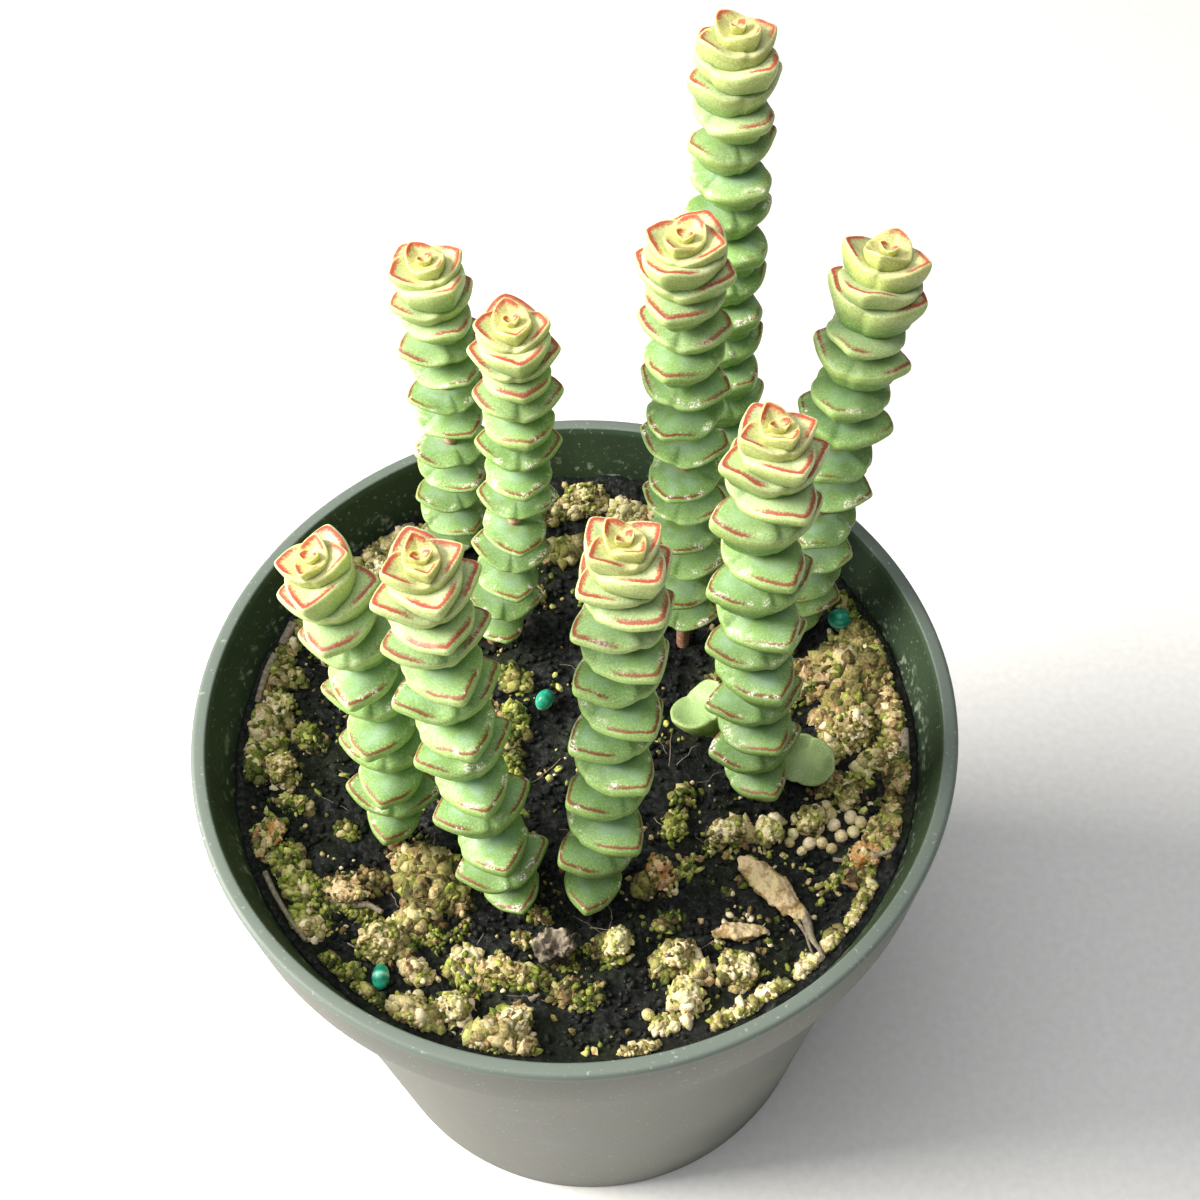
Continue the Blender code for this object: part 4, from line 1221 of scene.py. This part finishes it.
def dress_loose(node, draw):
    """A loose piece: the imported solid, rounded and given the relief of its kind.

    Returns the kind and the places of the small grains that are to lie on it.
    """
    kind = kind_of(node)
    lump_height, lump_size, grain_height, grain_size = RELIEF[kind]
    piece = rounded_copy(node, kind)
    shift = Vector([draw.uniform(-START_SPREAD, START_SPREAD) for _ in range(3)])
    normals = [vertex.normal.copy() for vertex in piece.data.vertices]
    for vertex, normal in zip(piece.data.vertices, normals):
        at = vertex.co / MM
        lumps = noise.fractal(at / lump_size + shift, *LUMP_OCTAVES)
        grains = noise.noise(at / grain_size + shift)
        near, _ = noise.voronoi(at / CLUSTER_SIZE + shift)
        clusters = 0.0 if kind == "bead" else CLUSTER_HEIGHT * (CLUSTER_MIDDLE - near[0])
        vertex.co += normal * (lump_height * lumps + grain_height * grains + clusters) * MM
    low, high = (Vector(corner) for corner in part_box(node))
    middle = (low + high) / 2
    tone = MEAN_TONE + draw.uniform(-PIECE_TONES, PIECE_TONES)
    if kind == "wood":
        tone += WOOD_TONE
    shades = []
    for vertex, normal in zip(piece.data.vertices, normals):
        if kind == "bead":
            if node == LYING_BEAD:
                vertex.co.y = middle.y + (vertex.co.y - middle.y) * LYING_LENGTH
                vertex.co.z = low.z + (vertex.co.z - low.z) * LYING_HEIGHT
            off = vertex.co - middle
            along = off.y if node == LYING_BEAD else off.z
            shades.append(math.exp(-((along / (BEAD_LINE * MM)) ** 2)))
            continue
        if kind == "wood":
            off = (vertex.co - middle) / MM
            ridge = noise.noise(Vector((off.x, off.y, off.z * RIDGE_STRETCH)) / RIDGE_SIZE + shift)
            vertex.co += (normal + UP * 0.5) * RIDGE_HEIGHT * ridge * MM
            hollow = math.exp(-((off.xy.length / HOLLOW_WIDTH) ** 2)) * max(0.0, normal.z)
            vertex.co.z -= HOLLOW_DEPTH * hollow * MM
        # Faces turned up are painted paler: partly a painted top light, partly the greener, mossier
        # sides
        blotch = noise.noise(vertex.co / MM / BLOTCH_SIZE + shift)
        shades.append(min(1.0, max(0.0, tone + TOP_TONE_AND_LIGHT * normal.z + BLOTCH_TONE * blotch)))
    write_points(piece.data, "shade", shades)
    piece.data.materials.clear()
    piece.data.materials.append(MATERIALS["rust" if node in FRESH_BARK else kind])
    piece.data.shade_smooth()
    settle(piece, kind, node)
    if kind == "bead" or node in SMOOTH_PIECES:
        return []
    size = (high - low) / MM
    count = int(COVER_GRAINS * size.x * size.y)
    tops = [v.co / MM for v, normal in zip(piece.data.vertices, normals) if normal.z > LOWEST_COVER]
    return [(kind, spot) for spot in draw.choices(tops, k=count)]


# Litter


def grain(ball, centre, size, uneven, draw):
    """Corners of one grain of litter: a small ball, stretched, turned at random and made uneven."""
    turn = np.array(Euler([draw.uniform(0, 2 * math.pi) for _ in range(3)]).to_matrix())
    corners = ball * [[draw.uniform(1 - uneven, 1 + uneven)] for _ in ball]
    return corners * (np.array(size) / 2) @ turn.T + centre


def grain_mesh(name, detail, grains, shades):
    """All the grains as one piece, each with its own tone."""
    deselect()
    bpy.ops.mesh.primitive_ico_sphere_add(subdivisions=detail, radius=1.0)
    ball = bpy.context.view_layer.objects.active
    corners = np.array([vertex.co for vertex in ball.data.vertices])
    sides = np.array([face.vertices for face in ball.data.polygons])
    bpy.data.objects.remove(ball)
    points = np.vstack([make(corners) for make in grains]) * MM
    steps = np.arange(len(grains)) * len(corners)
    faces = (sides[None] + steps[:, None, None]).reshape(-1, 3)
    mesh = bpy.data.meshes.new(name)
    mesh.from_pydata(points, [], faces)
    write_points(mesh, "shade", np.repeat(shades, len(corners)))
    return placed(name, mesh)


def on_mix(draw, most):
    """A random place on the mix, in mm, up to this share of its radius out."""
    angle, out = draw.uniform(0, 2 * math.pi), most * math.sqrt(draw.random())
    radius = pot_inner_radius(SOIL_LEVEL) * out
    return radius * math.cos(angle), radius * math.sin(angle)


def inside_wall(x, y, room):
    """The place itself, or the nearest one that leaves this much room in mm to the pot's wall."""
    out = math.hypot(x, y)
    share = min(1.0, (pot_inner_radius(SOIL_LEVEL) - room) / max(out, 0.1))
    return x * share, y * share


def in_patch(kind, x, y, draw):
    """True where a crumb of this kind may lie. Peat lies everywhere."""
    if kind == "peat":
        return True
    spot = noise.noise(Vector((x / PATCH_SIZE, y / PATCH_SIZE, PATCH_STARTS[kind])))
    return spot > draw.uniform(*PATCH_EDGE)


def one_of(mix, draw):
    """The kind of one grain out of a mix."""
    return draw.choices(list(MIXES[mix]), list(MIXES[mix].values()))[0]


def gather_litter(bases, covered, draw):
    """Every grain of litter, by kind: its maker and its tone."""
    piles = {kind: ([], []) for kind in CRUMBS}

    def drop(kind, x, y, width, lift, tone, z=None):
        *_, long, uneven = GRAIN_LOOK[kind]
        sizes = (width * draw.uniform(1.0, long), width, width * GRAIN_THICKNESS)
        x, y = inside_wall(x, y, sizes[0] * (1 + uneven) / 2)
        centre = (x, y, (ground(x, y, bases) if z is None else z) + lift)
        maker = functools.partial(grain, centre=centre, size=sizes, uneven=uneven, draw=draw)
        piles[kind][0].append(maker)
        piles[kind][1].append(min(1.0, max(0.0, tone)))

    for mix, heaps in LITTER.items():
        for x1, y1, x2, y2, width in heaps:
            toward = LINE_OF_SIGHT * (ground(x1, y1, bases) - SOIL_LEVEL)
            tone = draw.uniform(*HEAP_TONES[mix])
            for _ in range(int(HEAP_GRAINS * width * (width + math.dist((x1, y1), (x2, y2))))):
                along, angle = draw.random(), draw.uniform(0, 2 * math.pi)
                out = math.sqrt(draw.random())
                x = x1 + (x2 - x1) * along + out * width / 2 * math.cos(angle)
                y = y1 + (y2 - y1) * along + out * width / 2 * math.sin(angle) - toward
                kind = one_of(mix, draw)
                least, largest = GRAIN_LOOK[kind][:2]
                lift = (1 - out**2) * HEAP_HEIGHT * width * draw.random()
                size = width * draw.uniform(least, largest)
                drop(kind, x, y, size, lift, tone + draw.uniform(-GRAIN_TONES, GRAIN_TONES))
    for node in frame["nodes"]:
        if kind_of(node) in (None, "bead"):
            continue
        low, high = (Vector(corner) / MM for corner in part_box(node))
        middle, across = (low + high) / 2, (high - low).xy.length / math.sqrt(2)
        for _ in range(int(FOOT_GRAINS * across)):
            angle, out = draw.uniform(0, 2 * math.pi), draw.uniform(*FOOT_RING) * across
            x, y = middle.x + out * math.cos(angle), middle.y + out * math.sin(angle)
            kind, width = one_of("foot", draw), draw.uniform(*FOOT_WIDTHS)
            drop(kind, x, y, width, draw.uniform(*FOOT_LIFTS), draw.random())
    for mix, spot in covered:
        kind, width = one_of(mix, draw), draw.uniform(*COVER_WIDTHS)
        drop(kind, spot.x, spot.y, width, 0.0, draw.random(), spot.z)
    for kind, (count, least, largest) in CRUMBS.items():
        for _ in range(count):
            x, y = on_mix(draw, CRUMB_REACH)
            width = draw.uniform(least, largest)
            if in_patch(kind, x, y, draw):
                drop(kind, x, y, width, CRUMB_LIFT * width, draw.uniform(*CRUMB_TONES))
    return piles


def make_litter(bases, covered, draw):
    """All the litter, as one piece for each kind."""
    for kind, (grains, tones) in gather_litter(bases, covered, draw).items():
        piece = grain_mesh(kind + "_litter", GRAIN_LEVELS, grains, tones)
        if kind != "bark":
            piece.data.shade_smooth()
        piece.data.materials.append(MATERIALS[kind])
        settle(piece, LITTER_SLOTS[kind])


def make_granules(bases, draw):
    """The round granules that lie in a group."""
    granule = functools.partial(grain, uneven=GRANULE_UNEVEN, draw=draw)
    grains, shades = [], []
    for x, y, width in GRANULES:
        centre = (x, y, ground(x, y, bases) + width * GRANULE_LIFT)
        size = [width * share for share in GRANULE_SHAPE]
        grains.append(functools.partial(granule, centre=centre, size=size))
        shades.append(draw.uniform(*GRANULE_TONES))
    piece = grain_mesh("pumice_granules", GRANULE_LEVELS, grains, shades)
    piece.data.shade_smooth()
    piece.data.materials.append(MATERIALS["pumice"])
    settle(piece, "pumice")


def make_sticks(bases, draw):
    """Dried sticks and hair roots on the mix, as tapered bent tubes."""
    runs = list(STICKS)
    for _ in range(FIBRE_COUNT):
        x, y = on_mix(draw, FIBRE_REACH)
        angle, length = draw.uniform(0, 2 * math.pi), draw.uniform(*FIBRE_LENGTH)
        end = (x + length * math.cos(angle), y + length * math.sin(angle))
        if math.hypot(*end) > pot_inner_radius(SOIL_LEVEL) - FIBRE_ROOM:
            continue
        radius = draw.uniform(*FIBRE_RADIUS)
        lift = draw.uniform(*FIBRE_LIFTS)
        runs.append(((x, y, FIBRE_LIFTS[0]), (*end, lift), radius, radius * FIBRE_TAPER))
    paths = []
    for start, end, first, last in runs:
        wander = STICK_WANDER * math.dist(start[:2], end[:2])
        path = []
        for i in range(STICK_BENDS + 1):
            t = i / STICK_BENDS
            x, y, lift = (a + (b - a) * t for a, b in zip(start, end))
            radius = first + (last - first) * t
            x, y = x + draw.uniform(-wander, wander), y + draw.uniform(-wander, wander)
            x, y = inside_wall(x, y, radius + WALL_ROOM)
            path.append(((x * MM, y * MM, (soil_height(x, y, bases) + lift) * MM), radius))
        paths.append(path)
    piece = joined([tubes("dried_sticks", paths, MM, STICK_SIDES, "wood")], "dried_sticks")
    write_points(piece.data, "shade", [STICK_SHADE] * len(piece.data.vertices))
    piece.data.shade_smooth()
    settle(piece, "wood")


# Studio


def make_stage():
    """A plain pale floor."""
    deselect()
    bpy.ops.mesh.primitive_plane_add(size=FLOOR_WIDTH)
    floor = bpy.context.view_layer.objects.active
    floor.name = "studio_floor"
    floor.data.materials.append(floor_paper())


def area_light(name, place, size, power, tint):
    """A soft square light that faces the middle of the pot."""
    lamp = bpy.data.lights.new(name, "AREA")
    lamp.size = size
    lamp.energy = power
    lamp.color = colour(tint)[:3]
    obj = placed(name, lamp)
    obj.location = place
    obj.rotation_euler = (Vector(LIGHT_AIM) - Vector(place)).to_track_quat("-Z", "Y").to_euler()


def make_lights():
    """The soft lights and the pale surroundings."""
    for light in LIGHTS:
        area_light(*light)
    world = bpy.data.worlds.new("studio")
    world.use_nodes = True
    background = world.node_tree.nodes["Background"]
    background.inputs["Color"].default_value = colour(WORLD_TINT)
    background.inputs["Strength"].default_value = WORLD_STRENGTH
    bpy.context.scene.world = world
    bpy.context.scene.view_settings.view_transform = "Standard"


def make_camera():
    """The camera at the photograph's viewing angle."""
    data = bpy.data.cameras.new("camera")
    data.lens = CAMERA_LENS
    data.sensor_width = CAMERA_SENSOR
    data.clip_start = CAMERA_NEAREST
    tilt, roll = math.radians(CAMERA_ELEVATION), math.radians(CAMERA_ROLL)
    back = Vector((0.0, -math.cos(tilt), math.sin(tilt)))
    right = Vector((1.0, 0.0, 0.0))
    up = back.cross(right)
    rolled_right = right * math.cos(roll) - up * math.sin(roll)
    rolled_up = right * math.sin(roll) + up * math.cos(roll)
    axes = Matrix((rolled_right, rolled_up, back)).transposed().to_4x4()
    camera = placed("camera", data)
    camera.matrix_world = Matrix.Translation(Vector(CAMERA_PLACE) * MM) @ axes
    bpy.context.scene.camera = camera


MATERIALS = {
    "leaf": leaf_skin(),
    "stem": stem_bark(),
    "peat": peat(),
    "bead": bead_coat(),
}
# Crumbly stuffs: name, shades from dark to pale, how mossy, width of a grain in mm and roughness
CRUMBLY = {
    "pumice": (
        "pumice_crushed_weathered", ("#4E4A24", "#8A7E4A", "#C4B284", "#EBDDBC"), 0.45, 0.40, 0.9,
    ),
    "bark": (
        "pine_bark_chipped_weathered", ("#3C3018", "#735C3A", "#A58A5E", "#D2BC94"), 0.30, 0.40, 0.88,
    ),
    "rust": (
        "pine_bark_chipped_fresh", ("#5E3C18", "#9A672E", "#C4925A", "#DEC096"), 0.15, 0.45, 0.88,
    ),
    "wood": (
        "old_stem_wood_dried", ("#2C2721", "#5F5548", "#8B8070", "#B3A896"), 0.1, 0.5, 0.9,
    ),
    "moss": (
        "moss_cushion_grown", ("#26300F", "#586620", "#949A3C", "#CCCC80"), 0.2, 0.5, 0.95,
    ),
}
for kind, look in CRUMBLY.items():
    MATERIALS[kind] = crumbly(*look)


def main():
    """Builds the camera, the studio and every piece, in a fixed order of random draws."""
    deselect()
    make_camera()
    make_lights()
    make_stage()
    bases = all_bases()
    make_pot()
    make_soil(bases)
    template = make_pair_template()
    draw, shape_draw = random.Random(PAIR_SEED), random.Random(SHAPE_SEED)
    for name, plan in STEMS.items():
        make_stem(name, plan, draw, shape_draw, template)
    bpy.data.objects.remove(template["ball"])
    draw = random.Random(LOOSE_SEED)
    covered = []
    for node in frame["nodes"]:
        if kind_of(node):
            covered += dress_loose(node, draw)
    draw = random.Random(LITTER_SEED)
    make_litter(bases, covered, draw)
    make_granules(bases, draw)
    make_sticks(bases, draw)


main()
